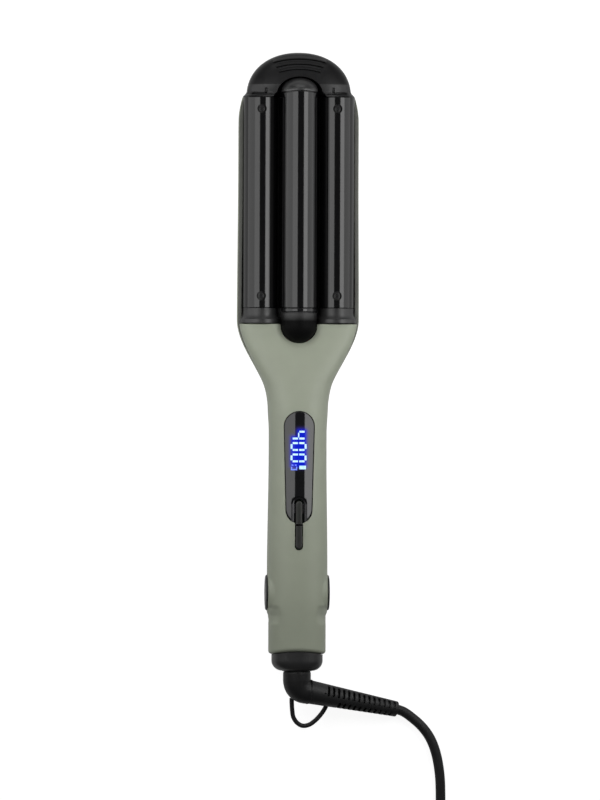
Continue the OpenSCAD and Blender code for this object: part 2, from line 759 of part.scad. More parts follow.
module rocker_key() {
  color(GLOSS) difference() {
    union() {
      pill(key_w, key_len, key_y, key_pivot + 1.2, key_top);
      translate([-key_w / 2 + 0.3, key_y - 2.2, key_pivot - 1.8]) cube([key_w - 0.6, 4.4, 4]);
      for (s = [-1, 1])
        translate([0, key_y + s * switch_gap, board_z + board_t + switch_h + 0.5])
          cylinder(r = 1.2, h = key_pivot - board_z - board_t - switch_h + 1.5, $fn = 24);
    }
    translate([-key_w, key_y, key_pivot]) rotate([0, 90, 0])
      cylinder(r = key_pin_r + RUN, h = 2 * key_w, $fn = 32);
    translate([-key_w, key_y - 0.25, key_top - 0.7]) cube([2 * key_w, 0.5, 2]);
  }
}

module front_leads() {
  lead_r = 1.1;
  lead_z = board_z - lead_r - FIT;
  lead_from = socket_y + 3.4 + socket_len + CLEAR;
  color("red") for (x = [-6.4, 6.4]) {
    along(x, lead_from, lead_z, lead_r, board_from + 10 - lead_from);
    along(x, board_to - 16, lead_z, lead_r, neck_y - 12 - board_to + 16);
  }
}

// ---------- tail ----------

function back_bottom(y) = 3 + 3.4 * smooth((-y - 10) / 25);
back_stations = [-tail_reach - 2.4, -26, -21, -16.5, -12, -9];
module tail_back() {
  color(GREEN) difference() {
    skin([for (y = back_stations) let (b = back_bottom(y))
      arch(y, half_w(min(y, -12)), front_z - FIT, b - front_z + FIT, 2.6, -9)], true);
    skin([for (y = [-tail_reach - 6, -16]) let (b = back_bottom(y) + wall)
      arch(y, half_w(-20) - wall, front_z + 1, b - front_z, 2.6, -9)], true);
    across(heel_r + 0.4, -hinge_w, hinge_w);
    translate([0, -tail_reach - tail_arc, 0]) cylinder(r = tail_arc, h = 60, $fn = 96);
  }
}

// Tail cap: its sections draw in round a quarter ellipse to the neck.
function cap_ring(d) = let (
  f = max(0, d - cap_straight) / (tail_cap_len - cap_straight),
  s = sqrt(max(0, 1 - f * f)),
  w = neck_d / 2 + 0.4 + (tail_cap_w / 2 - neck_d / 2 - 0.4) * s,
  h = neck_d / 2 + 0.4 + (tail_h - 1.2 - neck_d / 2 - 0.4) * s
) ring(cap_y - d, w, tail_z, h, 2.6, 40);

module tail_cap() {
  color(BLACK) difference() {
    intersection() {
      skin([for (f = [-3, 0, cap_straight, cap_straight + 1.2, cap_straight + 2.6, cap_straight + 3.8,
                     cap_straight + 4.8, tail_cap_len - 0.1]) cap_ring(f)], true);
      translate([0, cap_y - tail_arc, 0]) cylinder(r = tail_arc, h = 60, $fn = 96);
    }
    along(0, tail_end - 5, tail_z, ring_r + RUN + 1, 40);
  }
}

// The socket holds the swivel's shaft inside the tail.
shaft_r = ring_r + 1;
socket_r = shaft_r + 2.4;
socket_len = 12;
socket_y = cap_y - 3;
module swivel_socket() {
  color("ivory") difference() {
    union() {
      along(0, socket_y + 3.4, tail_z, socket_r, socket_len);
      translate([-tail_w / 2 + wall + 1.5, socket_y + 8, tail_z - 3]) cube([tail_w - 2 * wall - 3, 3, 6]);
    }
    along(0, socket_y - 10, tail_z, shaft_r + RUN, 60);
  }
}

module contact_springs() {
  base = tail_z + socket_r;
  color("gold") for (y = [socket_y + 6, socket_y + 11.2])
    translate([-0.8, y, base]) cube([1.6, 2.2, crown(y) - wall - 0.5 - base]);
}

module contact_rings() {
  color("gold") for (y = [socket_y + 6, socket_y + 11.2])
    difference() {
      along(0, y, tail_z, shaft_r, 2.2);
      along(0, y - 1, tail_z, ring_r + 0.02, 5);
    }
}

// ---------- swivel, strain relief and cord ----------

module swivel_elbow() {
  color(BLACK) {
    along(0, elbow_y, tail_z, neck_d / 2, tail_end - CLEAR - elbow_y);
    translate([0, elbow_y, tail_z]) sphere(r = neck_d / 2, $fn = 64);
    along(0, tail_end - 2, tail_z, ring_r, socket_y - tail_end + 2 + 3.4 + socket_len);
  }
}

relief_dir = unit(exit_pt - relief_from);
relief_len = norm(exit_pt - relief_from);
relief_turn = atan2(relief_dir[1], relief_dir[0]);
relief_tilt = acos(relief_dir[2]);
relief_root = 6.6;

module on_relief() {
  translate(relief_from) rotate([0, relief_tilt, relief_turn]) children();
}

slots_far = floor((relief_len - relief_root - 11) / slot_pitch);
module strain_relief() {
  color(BLACK) on_relief() difference() {
    translate([0, 0, relief_root])
      cylinder(r1 = relief_d / 2, r2 = relief_end_d / 2, h = relief_len - relief_root, $fn = 48);
    translate([0, 0, relief_root - 5]) sphere(r = neck_d / 2, $fn = 48);
    for (k = [0 : slots_far - 1])
      translate([-6, 0.4, relief_len - 3.4 - slot_pitch * k]) cube([12, 12, 1.1]);
    for (k = [0 : slots_far - 4])
      translate([-6, -12.4, relief_len - 3.4 - slot_pitch * (k + 0.5)]) cube([12, 12, 1.1]);
  }
}

loop_pts = [
  [-2.9, -56, 13.2], [-2.8, -59, 12.8], [-2.5, -62.5, 12.2], [-1.5, -65.8, 11.5], [0.4, -68.7, 10.9],
  [3.3, -70.4, 10.6], [6.7, -70, 10.3], [9.9, -67.9, 10.1], [12.9, -64.8, 10], [15.2, -61.4, 10.2], [16.7, -58.2, 10.6]
];
module hanging_loop() {
  color(BLACK) tube(loop_pts, loop_d / 2, 8);
}

// The coil starts where the first stretch ends, runs clockwise and spirals in and out in four layers.
layer_turns = (coil_turns - 1.5) / 4;
coil_out = coil_r + coil_pitch * layer_turns / 2;
coil_in = coil_out - coil_pitch * layer_turns;
coil_start = lead_pts[len(lead_pts) - 1];
coil_x = coil_start[0] - coil_out;
coil_y = coil_start[1] - cord_d;
coil_z = coil_start[2];
tail_from = [coil_x - cord_d, coil_y - coil_out, coil_z + 3 * coil_rise];
tail_pts = [for (step = tail_steps) tail_from + step];
function coil_point(u) = let (
  k = min(3, floor(u / (layer_turns + 0.5))),
  f = u - k * (layer_turns + 0.5),
  climb = max(0, f - layer_turns) / 0.5,
  turned = min(f, layer_turns),
  r = k % 2 == 0 ? coil_out - coil_pitch * turned : coil_in + coil_pitch * turned,
  z = coil_z + coil_rise * (k + (k < 3 ? climb : 0))
) [coil_x + r * cos(360 * u), coil_y - r * sin(360 * u), z];

coil_rings = round(coil_turns * 24);
coil_path = concat(
  [coil_start],
  [for (k = [0 : coil_rings]) coil_point(coil_turns * k / coil_rings)],
  [tail_from]
);
coil_gap = min([
  for (i = [1 : coil_rings - 12], j = [i + 13 : coil_rings + 1]) norm(coil_path[i] - coil_path[j])
]) - cord_d;
echo(coil_gap = coil_gap);

module cord_lead() { color(BLACK) tube(lead_pts, cord_r, 8); }
module cord_coil() { color(BLACK) tube(coil_path, cord_r, 6); }
module cord_tail() { color(BLACK) tube(tail_pts, cord_r, 8); }

tie_w = 12;
tie_t = 0.8;
module cord_tie() {
  x0 = coil_x - coil_out - cord_r - 0.9;
  x1 = coil_x - coil_in + cord_r + 1.2;
  z0 = coil_z - cord_r - 0.2;
  z1 = coil_z + 3 * coil_rise + cord_r + 0.3;
  color(BLACK) difference() {
    translate([x0 - tie_t, coil_y - tie_w / 2, z0 - tie_t])
      cube([x1 - x0 + 2 * tie_t, tie_w, z1 - z0 + 2 * tie_t]);
    translate([x0, coil_y - tie_w, z0]) cube([x1 - x0, 2 * tie_w, z1 - z0]);
  }
}

plug_at = tail_pts[len(tail_pts) - 1];
module plug_body() {
  color(BLACK) translate([plug_at[0], plug_at[1], 0]) difference() {
    linear_extrude(plug_h) polygon([
      [0, -3.6], [0, 3.6], [-8, 5.4], [-20, plug_w / 2], [-plug_len + 2, plug_w / 2],
      [-plug_len, plug_w / 2 - 2], [-plug_len, -plug_w / 2 + 2], [-plug_len + 2, -plug_w / 2],
      [-20, -plug_w / 2], [-8, -5.4]
    ]);
    for (s = [-1, 1])
      translate([-plug_len - 1, s * plug_pin_pitch / 2, plug_h / 2]) rotate([0, 90, 0])
        cylinder(r = plug_pin_d / 2 + 0.02, h = 9, $fn = 32);
  }
}
module plug_pins() {
  color(STEEL) for (s = [-1, 1])
    translate([plug_at[0] - plug_len + 8, plug_at[1] + s * plug_pin_pitch / 2, plug_h / 2])
      rotate([0, -90, 0]) {
        cylinder(r = plug_pin_d / 2, h = plug_pin_len + 7.2, $fn = 32);
        translate([0, 0, plug_pin_len + 7.2]) cylinder(r1 = plug_pin_d / 2, r2 = 1.3, h = 0.8, $fn = 32);
      }
}

rear_shell();
rear_cover();
rear_liner();
rear_bracket();
left_barrel();
right_barrel();
left_heater();
right_heater();
barrel_screws();
cool_tip();
rear_leads();
rear_cover_screws();
hinge_pin();
left_hinge_cap();
right_hinge_cap();
hinge_spring();
front_shell();
front_cover();
barrel_neck();
centre_barrel();
centre_cap();
centre_heater();
display_lens();
display_module();
display_digits();
circuit_board();
key_switches();
key_pin();
front_leads();
front_cover_screws();
tail_back();
tail_cap();
swivel_socket();
contact_springs();
rocker_key();
swivel_elbow();
contact_rings();
strain_relief();
hanging_loop();
cord_lead();
cord_coil();
cord_tail();
cord_tie();
plug_body();
plug_pins();
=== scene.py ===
"""Hair waver with two hinged arms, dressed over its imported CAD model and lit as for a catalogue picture."""
import math

import bpy
import numpy as np
from bpy.props import FloatProperty, FloatVectorProperty, PointerProperty
from mathutils import Matrix, Vector


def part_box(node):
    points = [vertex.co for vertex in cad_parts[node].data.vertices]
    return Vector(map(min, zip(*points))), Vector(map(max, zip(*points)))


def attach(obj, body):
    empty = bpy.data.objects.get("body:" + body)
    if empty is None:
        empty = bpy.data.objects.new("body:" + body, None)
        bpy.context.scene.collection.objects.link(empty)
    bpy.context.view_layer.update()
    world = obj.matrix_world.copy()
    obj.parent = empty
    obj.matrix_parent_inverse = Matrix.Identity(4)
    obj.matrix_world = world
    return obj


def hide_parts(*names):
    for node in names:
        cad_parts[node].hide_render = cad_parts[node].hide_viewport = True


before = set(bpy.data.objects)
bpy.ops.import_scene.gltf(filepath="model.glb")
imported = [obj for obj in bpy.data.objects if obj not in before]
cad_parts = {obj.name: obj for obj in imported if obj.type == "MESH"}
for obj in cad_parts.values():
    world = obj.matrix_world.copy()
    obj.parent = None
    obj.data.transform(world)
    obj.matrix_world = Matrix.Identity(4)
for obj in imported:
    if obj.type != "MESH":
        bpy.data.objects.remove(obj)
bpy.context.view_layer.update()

bl_info = {
    "name": "Hair waver",
    "version": (1, 0, 0),
    "blender": (4, 5, 0),
    "location": "View3D > Sidebar > Waver",
    "description": "Makes the pieces, finishes, lights and camera of a hair waver",
    "category": "Add Mesh",
}

MM = 0.001

# ---------- sizes that the CAD source gives, in millimetres ----------
PART_Z = 15.0                    # height of the hinge axis and of the plane between the arms
REAR_TOP, FRONT_Z = 14.7, 15.3   # rims of the rear and of the front arm
CROWN_Z, HEAD_DROP = 30.0, 6.7   # crown of the grip, and how much lower the head's is
HEEL_R, HEEL_SLOPE = 15.4, math.tan(math.radians(20))
BOSS_R, BOSS_X = 8.7, 15.9       # round bosses on the front arm's flanks, about the hinge pin
GRIP_HALF, HEAD_GROWTH = 15.2, 17.0
TAIL_HALF, HINGE_END = 15.1, 11.0
GRIP_Y, FLARE_Y, FLARE_END = 74.8, 98.0, 144.0
SHELL_END, TRAY_END = 141.8, 261.7
WALL = 2.2
RIM_SHOW = 1.0                   # how far the tray's rim reaches beyond the front shell
SIDE_X, SIDE_Z, MIDDLE_Z = 20.0, 14.5, 21.5
BARREL_Y, BARREL_LEN, MIDDLE_END = 150.2, 111.5, 264.2
BARREL_WALL, PEG_R = 1.6, 7.75   # wall of the barrels, and radius of the pegs that hold the side ones
SCREW_Y = (156.6, 255.3)
TIP_Y, TIP_LEN, TIP_HALF, TIP_MID = 261.8, 23.3, 27.6, 12.0
TAIL_REACH, TAIL_ARC, TAIL_Z = 31.1, 66.0, 17.0
CAP_X, CAP_Y, TAIL_END = 15.95, -31.2, -41.2
ELBOW = np.array([0.0, -51.1, TAIL_Z])
CORD_EXIT = np.array([53.7, -61.7, 4.3])
LENS_Y, LENS_LEN, LENS_TOP = 36.8, 58.9, 30.6
WINDOW = (LENS_Y + 6.9, 6.9, LENS_Y + LENS_LEN - 8, 8)   # y and radius of the window's two round ends
LENS_LEAN = math.radians(15.5)   # slope of the window's sides
KEY_Y = 35.8
DIGIT_Y = 77.2

# ---------- sizes of the scene alone, in millimetres ----------
LENS_BEND = 15.5                 # radius of the window's face across its middle
NECK_Y = SHELL_END - 0.5         # middle of the ball at the neck's end
SEAT_R = 9.8                     # radius of the front shell's seat for that ball
CREASE_Y = 268.2                 # where the cool tip's slope meets its grip
KEY_REACH = 11.15                # from the key's middle to the middles of its round ends
THROUGH = (22, 40)               # heights between which openings are cut in the front shell and the window

X_AXIS, Y_AXIS, Z_AXIS = (1, 0, 0), (0, 1, 0), (0, 0, 1)
SIDES = (-1, 1)
QUARTER = np.pi / 2


# ---------- numpy shapes ----------

def ease(t):
    """3t^2 - 2t^3 between 0 and 1, flat outside."""
    t = np.clip(t, 0, 1)
    return t * t * (3 - 2 * t)


def full_turn(n):
    """n even angles round a circle."""
    return np.linspace(0, 2 * np.pi, n, endpoint=False)


def bent(v, p):
    """sign(v) times |v| to the power p."""
    return np.sign(v) * np.abs(v) ** p


def half_width(y):
    """Half width of an arm at y: tail, hinge, grip and the flare to the head, joined by ease curves."""
    y = np.asarray(y, float)
    head = GRIP_HALF + HEAD_GROWTH * ease((y - FLARE_Y) / (FLARE_END - FLARE_Y))
    grip = GRIP_HALF + 0.7 * ease((GRIP_Y - y) / (GRIP_Y - HINGE_END))
    tail = TAIL_HALF + 0.8 * ease((y + 12.4) / 3.2)
    lead_in = 0.7 * ease((y - FLARE_Y + 14) / 16) * (1 - ease((y - FLARE_Y - 3) / 11))
    return lead_in + np.where(y > FLARE_Y, head, np.where(y > HINGE_END, grip, tail))


def tray_half(y):
    """The rear arm's half width, a little narrower along the head and drawn in over its last 14 mm by a parabola."""
    y = np.asarray(y, float)
    return half_width(y) - 0.4 * ease((y - FLARE_END) / 80) - 2.2 * (np.clip(y - TRAY_END + 14, 0, None) / 14) ** 2


def squareness(y):
    """Exponent of an arm's section, from 2.6 at the grip to 4.1 at the head."""
    return 2.6 + 1.5 * ease((np.asarray(y, float) - FLARE_Y) / (FLARE_END - FLARE_Y))


def crown(y):
    """Height of the front arm's crown: level on the grip, eased down to the head and by 1 mm to the tail."""
    y = np.asarray(y, float)
    head = CROWN_Z - HEAD_DROP * ease((y - FLARE_Y + 6) / (SHELL_END - FLARE_Y + 6))
    return np.where(y < 0, CROWN_Z - ease(-y / TAIL_REACH), head)


def arch_angles(n):
    """Angles 0 to pi, close together at both ends, so that a rim's rounding has points."""
    return np.pi * (0.5 - 0.5 * np.cos(np.pi * np.linspace(0, 1, n)))


def tail_line(x):
    """y of the tail's end over x: the arc of a large circle, so that the sides reach further back."""
    return -TAIL_REACH - TAIL_ARC + np.sqrt(TAIL_ARC ** 2 - np.clip(np.abs(x), 0, 40) ** 2)


def tail_bend(x, y):
    """What the arc at the tail's end adds to y, eased in behind the hinge."""
    return (tail_line(x) + TAIL_REACH) * ease((-8 - y) / 20)


def tail_edge(steps):
    """y and inset of the rings that round the tail's end by a quarter ellipse."""
    turn = np.linspace(0, QUARTER, steps)
    return -TAIL_REACH + 2.2 * (1 - np.cos(turn)), 2.4 * (1 - np.sin(turn))


def rounded_rim(x, w, below, fillet):
    """x of a flank drawn in by a quarter circle near its rim; below is the distance from the rim."""
    rise = np.clip(fillet - below, 0, fillet)
    return x - np.sign(x) * (fillet - np.sqrt(fillet ** 2 - rise ** 2)) * (np.abs(x) > w * 0.7)


def front_arch(y, inset, n, boss=True):
    """Rings of the front arm: z = base + h sin(a)^(2/p), x = w cos(a)^(2/p), with the rim rounded by a
    quarter circle, and the flank drawn out to a round boss about the hinge pin."""
    y = np.asarray(y, float)[:, None]
    inset = np.broadcast_to(np.asarray(inset, float).reshape(-1, 1), y.shape)
    a = arch_angles(n)[None, :]
    p = squareness(y)
    w = half_width(y) - RIM_SHOW * ease((y - FLARE_Y) / (FLARE_END - FLARE_Y)) - inset
    x = w * bent(np.cos(a), 2 / p)
    z = FRONT_Z + (crown(y) - inset - FRONT_Z) * np.sin(a) ** (2 / p)
    if boss:
        x = rounded_rim(x, w, z - FRONT_Z, 0.6)
        swell = 1 - ease((np.hypot(y, z - PART_Z) - BOSS_R) / 3.2)
        x = x + np.sign(np.cos(a)) * np.clip(BOSS_X - np.abs(x), 0, 2.4) * swell * (np.abs(x) > 9)
        # a dent on the flank behind each boss
        dent = np.clip(1 - ((np.abs(x) - 14.8) / 5.6) ** 2, 0, 1) * np.clip(1 - ((y + 11.4) / 5.2) ** 2, 0, 1)
        z = z - 2.0 * ease(dent) * ease((z - FRONT_Z) / 2.5)
    return np.stack(np.broadcast_arrays(x, y + tail_bend(x, y), z), -1)


def rear_rings(y, inset, n):
    """Rings of the rear arm: an arch downwards, cut flat where it lies, with its heel rounded about the
    hinge axis and the rim sloping away behind it; the outer rim is rounded by a quarter circle."""
    y = np.asarray(y, float)[:, None]
    a = arch_angles(n)[None, :]
    p = squareness(y)
    top = np.where(y < 0, REAR_TOP + y * HEEL_SLOPE, REAR_TOP)
    floor = np.where(y < 0, np.maximum(0, PART_Z - np.sqrt(np.clip(HEEL_R ** 2 - y * y, 0, None))), 0) + inset
    w = tray_half(y) - inset
    x = w * bent(np.cos(a), 2 / p)
    z = np.maximum(floor, top + (floor - top - 0.35) * np.sin(a) ** (2 / p))
    x = rounded_rim(x, w, top - z, 1.1 if inset == 0 else 0.01)
    return np.stack(np.broadcast_arrays(x, y + 0 * x, z), -1)


def skin(rings, loop=False):
    """Points, quads and end fans of a skin through rings of equal count; with loop the last joins the first."""
    rings = np.asarray(rings, float)
    k, n, _ = rings.shape
    rows = np.arange(k if loop else k - 1)[:, None]
    j = np.arange(n)[None, :]
    near, far, side = rows * n, ((rows + 1) % k) * n, (j + 1) % n
    quads = np.stack(np.broadcast_arrays(near + j, near + side, far + side, far + j), -1).reshape(-1, 4)
    points = rings.reshape(-1, 3)
    if loop:
        return points, quads, np.zeros((0, 3), int)
    points = np.concatenate([points, rings[:1].mean(1), rings[-1:].mean(1)])
    first = np.stack([np.full(n, k * n), side[0], j[0]], -1)
    last = np.stack([np.full(n, k * n + 1), (k - 1) * n + j[0], (k - 1) * n + side[0]], -1)
    return points, quads, np.concatenate([first, last])


def turned(profile, origin, axis, n=128, loop=False):
    """A profile of (radius, height) pairs turned about an axis through origin, as rings of n points."""
    profile = np.asarray(profile, float)
    axis = np.asarray(axis, float) / np.linalg.norm(axis)
    side = np.cross(axis, Z_AXIS if abs(axis[2]) < 0.9 else X_AXIS)
    side /= np.linalg.norm(side)
    up = np.cross(axis, side)
    t = full_turn(n)[:, None]
    spokes = np.cos(t) * side + np.sin(t) * up
    rings = profile[:, :1, None] * spokes[None] + profile[:, 1:, None] * axis + np.asarray(origin, float)
    return skin(rings, loop)


def across_x(radius, x0, x1, n=96):
    """A round along X about the hinge axis."""
    return turned([(radius, x0), (radius, x1)], (0, 0, PART_Z), X_AXIS, n)


def corner(r0, h0, r1, h1, steps=6, first="h"):
    """Points of a quarter ellipse from (r0, h0) to (r1, h1), leaving along h or along r."""
    t = np.linspace(0, QUARTER, steps)
    s, c = np.sin(t), 1 - np.cos(t)
    u, v = (c, s) if first == "h" else (s, c)
    return np.stack([r0 + (r1 - r0) * u, h0 + (h1 - h0) * v], -1)


def smooth_path(points, per_span):
    """Catmull-Rom curve through the points, with per_span samples to each span."""
    p = np.asarray(points, float)
    p = np.concatenate([2 * p[:1] - p[1:2], p, 2 * p[-1:] - p[-2:-1]])
    t = np.linspace(0, 1, per_span, endpoint=False)[None, :, None]
    a, b, c, d = p[:-3, None], p[1:-2, None], p[2:-1, None], p[3:, None]
    curve = 0.5 * (2 * b + (c - a) * t + (2 * a - 5 * b + 4 * c - d) * t ** 2 + (3 * b - a - 3 * c + d) * t ** 3)
    return np.concatenate([curve.reshape(-1, 3), p[-2:-1]])


def tube(path, radius, n, up=(0, 0, 1)):
    """A round tube: at each point of the path a circle in the plane square to it, turned about the vector up."""
    path = np.asarray(path, float)
    heading = np.gradient(path, axis=0)
    heading /= np.linalg.norm(heading, axis=1)[:, None]
    side = np.cross(heading, np.asarray(up, float))
    side /= np.linalg.norm(side, axis=1)[:, None]
    lift = np.cross(side, heading)
    t = full_turn(n)[None, :, None]
    radius = np.broadcast_to(np.asarray(radius, float).reshape(-1, 1, 1), (len(path), 1, 1))
    return skin(path[:, None] + radius * (np.cos(t) * side[:, None] + np.sin(t) * lift[:, None]))


def stadium(y0, r0, y1, r1, inset, arc=40, straight=24):
    """Outline of two circles and their common tangents, moved inwards by inset, as (x, y) points."""
    lean = math.asin((r1 - r0) / (y1 - y0))
    r0, r1 = max(r0 - inset, 0.02), max(r1 - inset, 0.02)
    t1 = np.linspace(-lean, np.pi + lean, arc)
    t0 = np.linspace(np.pi + lean, 2 * np.pi - lean, arc)
    top = np.stack([r1 * np.cos(t1), y1 + r1 * np.sin(t1)], -1)
    low = np.stack([r0 * np.cos(t0), y0 + r0 * np.sin(t0)], -1)
    f = np.linspace(0, 1, straight + 2)[1:-1, None]
    return np.concatenate([top, top[-1] + (low[0] - top[-1]) * f, low, low[-1] + (top[0] - low[-1]) * f])


def pad(y0, r0, y1, r1, base, height, fillet, rows=8):
    """A pad on a stadium outline: straight sides, an edge rounded by a quarter circle, and a face whose height
    is a function of x and y; rows further outlines close the face towards its middle line."""
    rings = [np.column_stack([stadium(y0, r0, y1, r1, 0), np.full(128, base)])]
    steps = [(fillet * (1 - math.cos(a)), fillet * (1 - math.sin(a))) for a in np.linspace(0, QUARTER, 6)]
    steps += [(d, 0) for d in np.linspace(fillet, min(r0, r1), rows)[1:]]
    for inset, drop in steps:
        xy = stadium(y0, r0, y1, r1, inset)
        rings.append(np.column_stack([xy, height(xy[:, 0], xy[:, 1]) - drop]))
    return skin(rings)


def prism(outline, heights=THROUGH):
    """An outline of (x, y) points carried straight from one height to another."""
    outline = np.asarray(outline, float)
    return skin([np.column_stack([outline, np.full(len(outline), z)]) for z in heights])


def slab(x0, x1, y0, y1, z0, z1):
    """A plain box, for cutting."""
    return prism([[x0, y0], [x1, y0], [x1, y1], [x0, y1]], (z0, z1))


def key_outline(radius, inset=0):
    """A pill about the key's middle."""
    return stadium(KEY_Y - KEY_REACH, radius, KEY_Y + KEY_REACH, radius, inset)


def mesh_of(name, parts):
    """One mesh of several closed skins in millimetres; a skin whose signed volume is negative is turned round."""
    points, faces, at = [], [], 0
    for co, quads, tris in parts:
        all_tris = np.concatenate([quads[:, [0, 1, 2]], quads[:, [0, 2, 3]], tris])
        a, b, c = (co[all_tris[:, i]] for i in range(3))
        if np.einsum("ij,ij->i", a, np.cross(b, c)).sum() < 0:
            quads, tris = quads[:, ::-1], tris[:, ::-1]
        points.append(co)
        faces += (quads + at).tolist() + (tris + at).tolist()
        at += len(co)
    mesh = bpy.data.meshes.new(name)
    mesh.from_pydata((np.concatenate(points) * MM).tolist(), [], faces)
    mesh.update()
    return mesh


def soften(mesh, angle):
    """Smooth shading, with edges sharp where faces meet at more than angle degrees."""
    mesh.shade_smooth()
    mesh.set_sharp_from_angle(angle=math.radians(angle))


def carve(obj, cutters, join=()):
    """Cuts the cutters out of obj and joins others to it with booleans, and keeps the result as its mesh."""
    helpers = []
    for operation, group in (("UNION", join), ("DIFFERENCE", cutters)):
        for parts in group:
            helper = bpy.data.objects.new("cutter", mesh_of("cutter", [parts]))
            bpy.context.scene.collection.objects.link(helper)
            helpers.append(helper)
            step = obj.modifiers.new("carve", "BOOLEAN")
            step.solver, step.operation, step.object = "MANIFOLD", operation, helper
    result = bpy.data.meshes.new_from_object(obj.evaluated_get(bpy.context.evaluated_depsgraph_get()))
    obj.modifiers.clear()
    old, obj.data = obj.data, result
    result.name = old.name
    bpy.data.meshes.remove(old)
    for helper in helpers:
        mesh = helper.data
        bpy.data.objects.remove(helper)
        bpy.data.meshes.remove(mesh)


def dress(name, parts, body, nodes, finish, sharp=34, cutters=(), join=()):
    """Makes a piece of closed skins, carves it, gives it its finish, and lets it ride on a body in place of nodes."""
    obj = bpy.data.objects.new(name, mesh_of(name, parts))
    bpy.context.scene.collection.objects.link(obj)
    if cutters or join:
        carve(obj, cutters, join)
    obj.data.materials.clear()
    obj.data.materials.append(finish)
    soften(obj.data, sharp)
    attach(obj, body)
    if nodes:
        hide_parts(*nodes)
    return obj


# ---------- finishes ----------

class Nodes:
    """Short names for a material's node tree."""

    def __init__(self, name):
        self.material = bpy.data.materials.new(name)
        self.material.use_nodes = True
        self.tree = self.material.node_tree
        self.shader = self.tree.nodes["Principled BSDF"]
        self.place = self.add("ShaderNodeTexCoord").outputs["Object"]

    def add(self, kind, **values):
        node = self.tree.nodes.new(kind)
        for key, value in values.items():
            setattr(node, key, value)
        return node

    def link(self, a, b):
        self.tree.links.new(a, b)

    def put(self, **values):
        """Sets sockets of the shader, a number or colour directly and a node's output by a link; an underscore
        stands for a space."""
        for key, value in values.items():
            socket = self.shader.inputs[key.replace("_", " ")]
            if isinstance(value, bpy.types.NodeSocket):
                self.link(value, socket)
            else:
                socket.default_value = value if isinstance(value, (int, float)) else (*value, 1)

    def axes(self):
        """The object coordinates x, y and z."""
        split = self.add("ShaderNodeSeparateXYZ")
        self.link(self.place, split.inputs[0])
        return split.outputs

    def noise(self, scale, detail=2.0, stretch=None):
        """Noise on object coordinates; scale is in features per metre, and stretch makes it longer on an axis."""
        texture = self.add("ShaderNodeTexNoise")
        texture.inputs["Scale"].default_value = scale
        texture.inputs["Detail"].default_value = detail
        source = self.place
        if stretch:
            mapping = self.add("ShaderNodeMapping")
            mapping.inputs["Scale"].default_value = stretch
            self.link(source, mapping.inputs["Vector"])
            source = mapping.outputs["Vector"]
        self.link(source, texture.inputs["Vector"])
        return texture.outputs["Fac"]

    def ramp(self, factor, *stops):
        """A colour ramp from (position, colour) stops; a number stands for a grey."""
        node = self.add("ShaderNodeValToRGB")
        points = node.color_ramp.elements
        while len(points) < len(stops):
            points.new(0.5)
        for point, (at, colour) in zip(points, stops):
            point.position = at
            point.color = (colour,) * 3 + (1,) if isinstance(colour, (int, float)) else (*colour, 1)
        self.link(factor, node.inputs["Fac"])
        return node.outputs["Color"]

    def maths(self, operation, a, b=None):
        node = self.add("ShaderNodeMath", operation=operation)
        for socket, value in zip(node.inputs, (a, b)):
            if isinstance(value, (int, float)):
                socket.default_value = value
            elif value is not None:
                self.link(value, socket)
        return node.outputs[0]

    def bump(self, height, depth, strength, under=None):
        node = self.add("ShaderNodeBump")
        node.inputs["Distance"].default_value = depth
        node.inputs["Strength"].default_value = strength
        self.link(height, node.inputs["Height"])
        if under is not None:
            self.link(under, node.inputs["Normal"])
        return node.outputs["Normal"]


def moulded(name, colour, rough, spread=0.05, shade=0.06, grain=5000, depth=0.00002, strength=0.25,
            specular=0.5, metal=0.0, patch=90):
    """A moulded or painted finish: broad patches vary the colour by shade and the roughness by spread, and a
    fine grain and a faint unevenness give the surface its bump."""
    n = Nodes(name)
    low = tuple(c * (1 - shade) for c in colour)
    high = tuple(min(1, c * (1 + shade)) for c in colour)
    uneven = n.bump(n.noise(700, 1), depth * 1.5, strength * 0.25)
    n.put(Base_Color=n.ramp(n.noise(patch, 3), (0.3, low), (0.7, high)),
          Roughness=n.ramp(n.noise(patch * 3.3, 4), (0.3, max(0.02, rough - spread)), (0.7, min(1, rough + spread))),
          Normal=n.bump(n.noise(grain, 2), depth, strength, uneven), Specular_IOR_Level=specular, Metallic=metal)
    return n


def colours():
    return bpy.context.scene.waver_colours


def shell_finish():
    """Sage paint, satin, with a fine spray grain."""
    c = colours()
    return moulded("sage paint", tuple(c.shell), c.shell_roughness, 0.04, 0.025, 4200, 0.000015, 0.16, 0.35).material


def rim_shade_finish():
    """Darker grey green: painted shade on the tray's rim and inside, which show as a strip beside the barrels."""
    return moulded("tray painted shade", tuple(colours().rim), 0.5, 0.05, 0.08, 3500, 0.00002, 0.25, 0.35).material


def black_finish(name, rough, specular=0.32):
    """Black moulded plastic with a spark-eroded grain."""
    return moulded(name, tuple(colours().plastic), rough, 0.05, 0.12, 3000, 0.00003, 0.35, specular).material


def neck_finish():
    """Black plastic that is satin beside the middle barrel and turns dull towards the ball."""
    n = moulded("neck plastic", (0.0035, 0.0035, 0.0035), 0.5, 0.05, 0.12, 3000, 0.00002, 0.25)
    along = n.maths("MULTIPLY", n.maths("SUBTRACT", n.axes()["Y"], (SHELL_END + 1.5) * MM), 1 / (3.5 * MM))
    n.put(Specular_IOR_Level=n.ramp(along, (0.0, 0.04), (1.0, 0.75)))
    return n.material


def tip_finish():
    """Black plastic, dull where the fingers hold the tip and polished on the slope in front of the barrels."""
    n = moulded("tip plastic", (0.012, 0.012, 0.0125), 0.36, 0.05, 0.12, 3000, 0.00003, 0.3)
    slope = n.maths("LESS_THAN", n.axes()["Y"], (CREASE_Y + 0.05) * MM)
    n.put(Specular_IOR_Level=n.ramp(slope, (0.0, 0.21), (1.0, 0.4)))
    return n.material


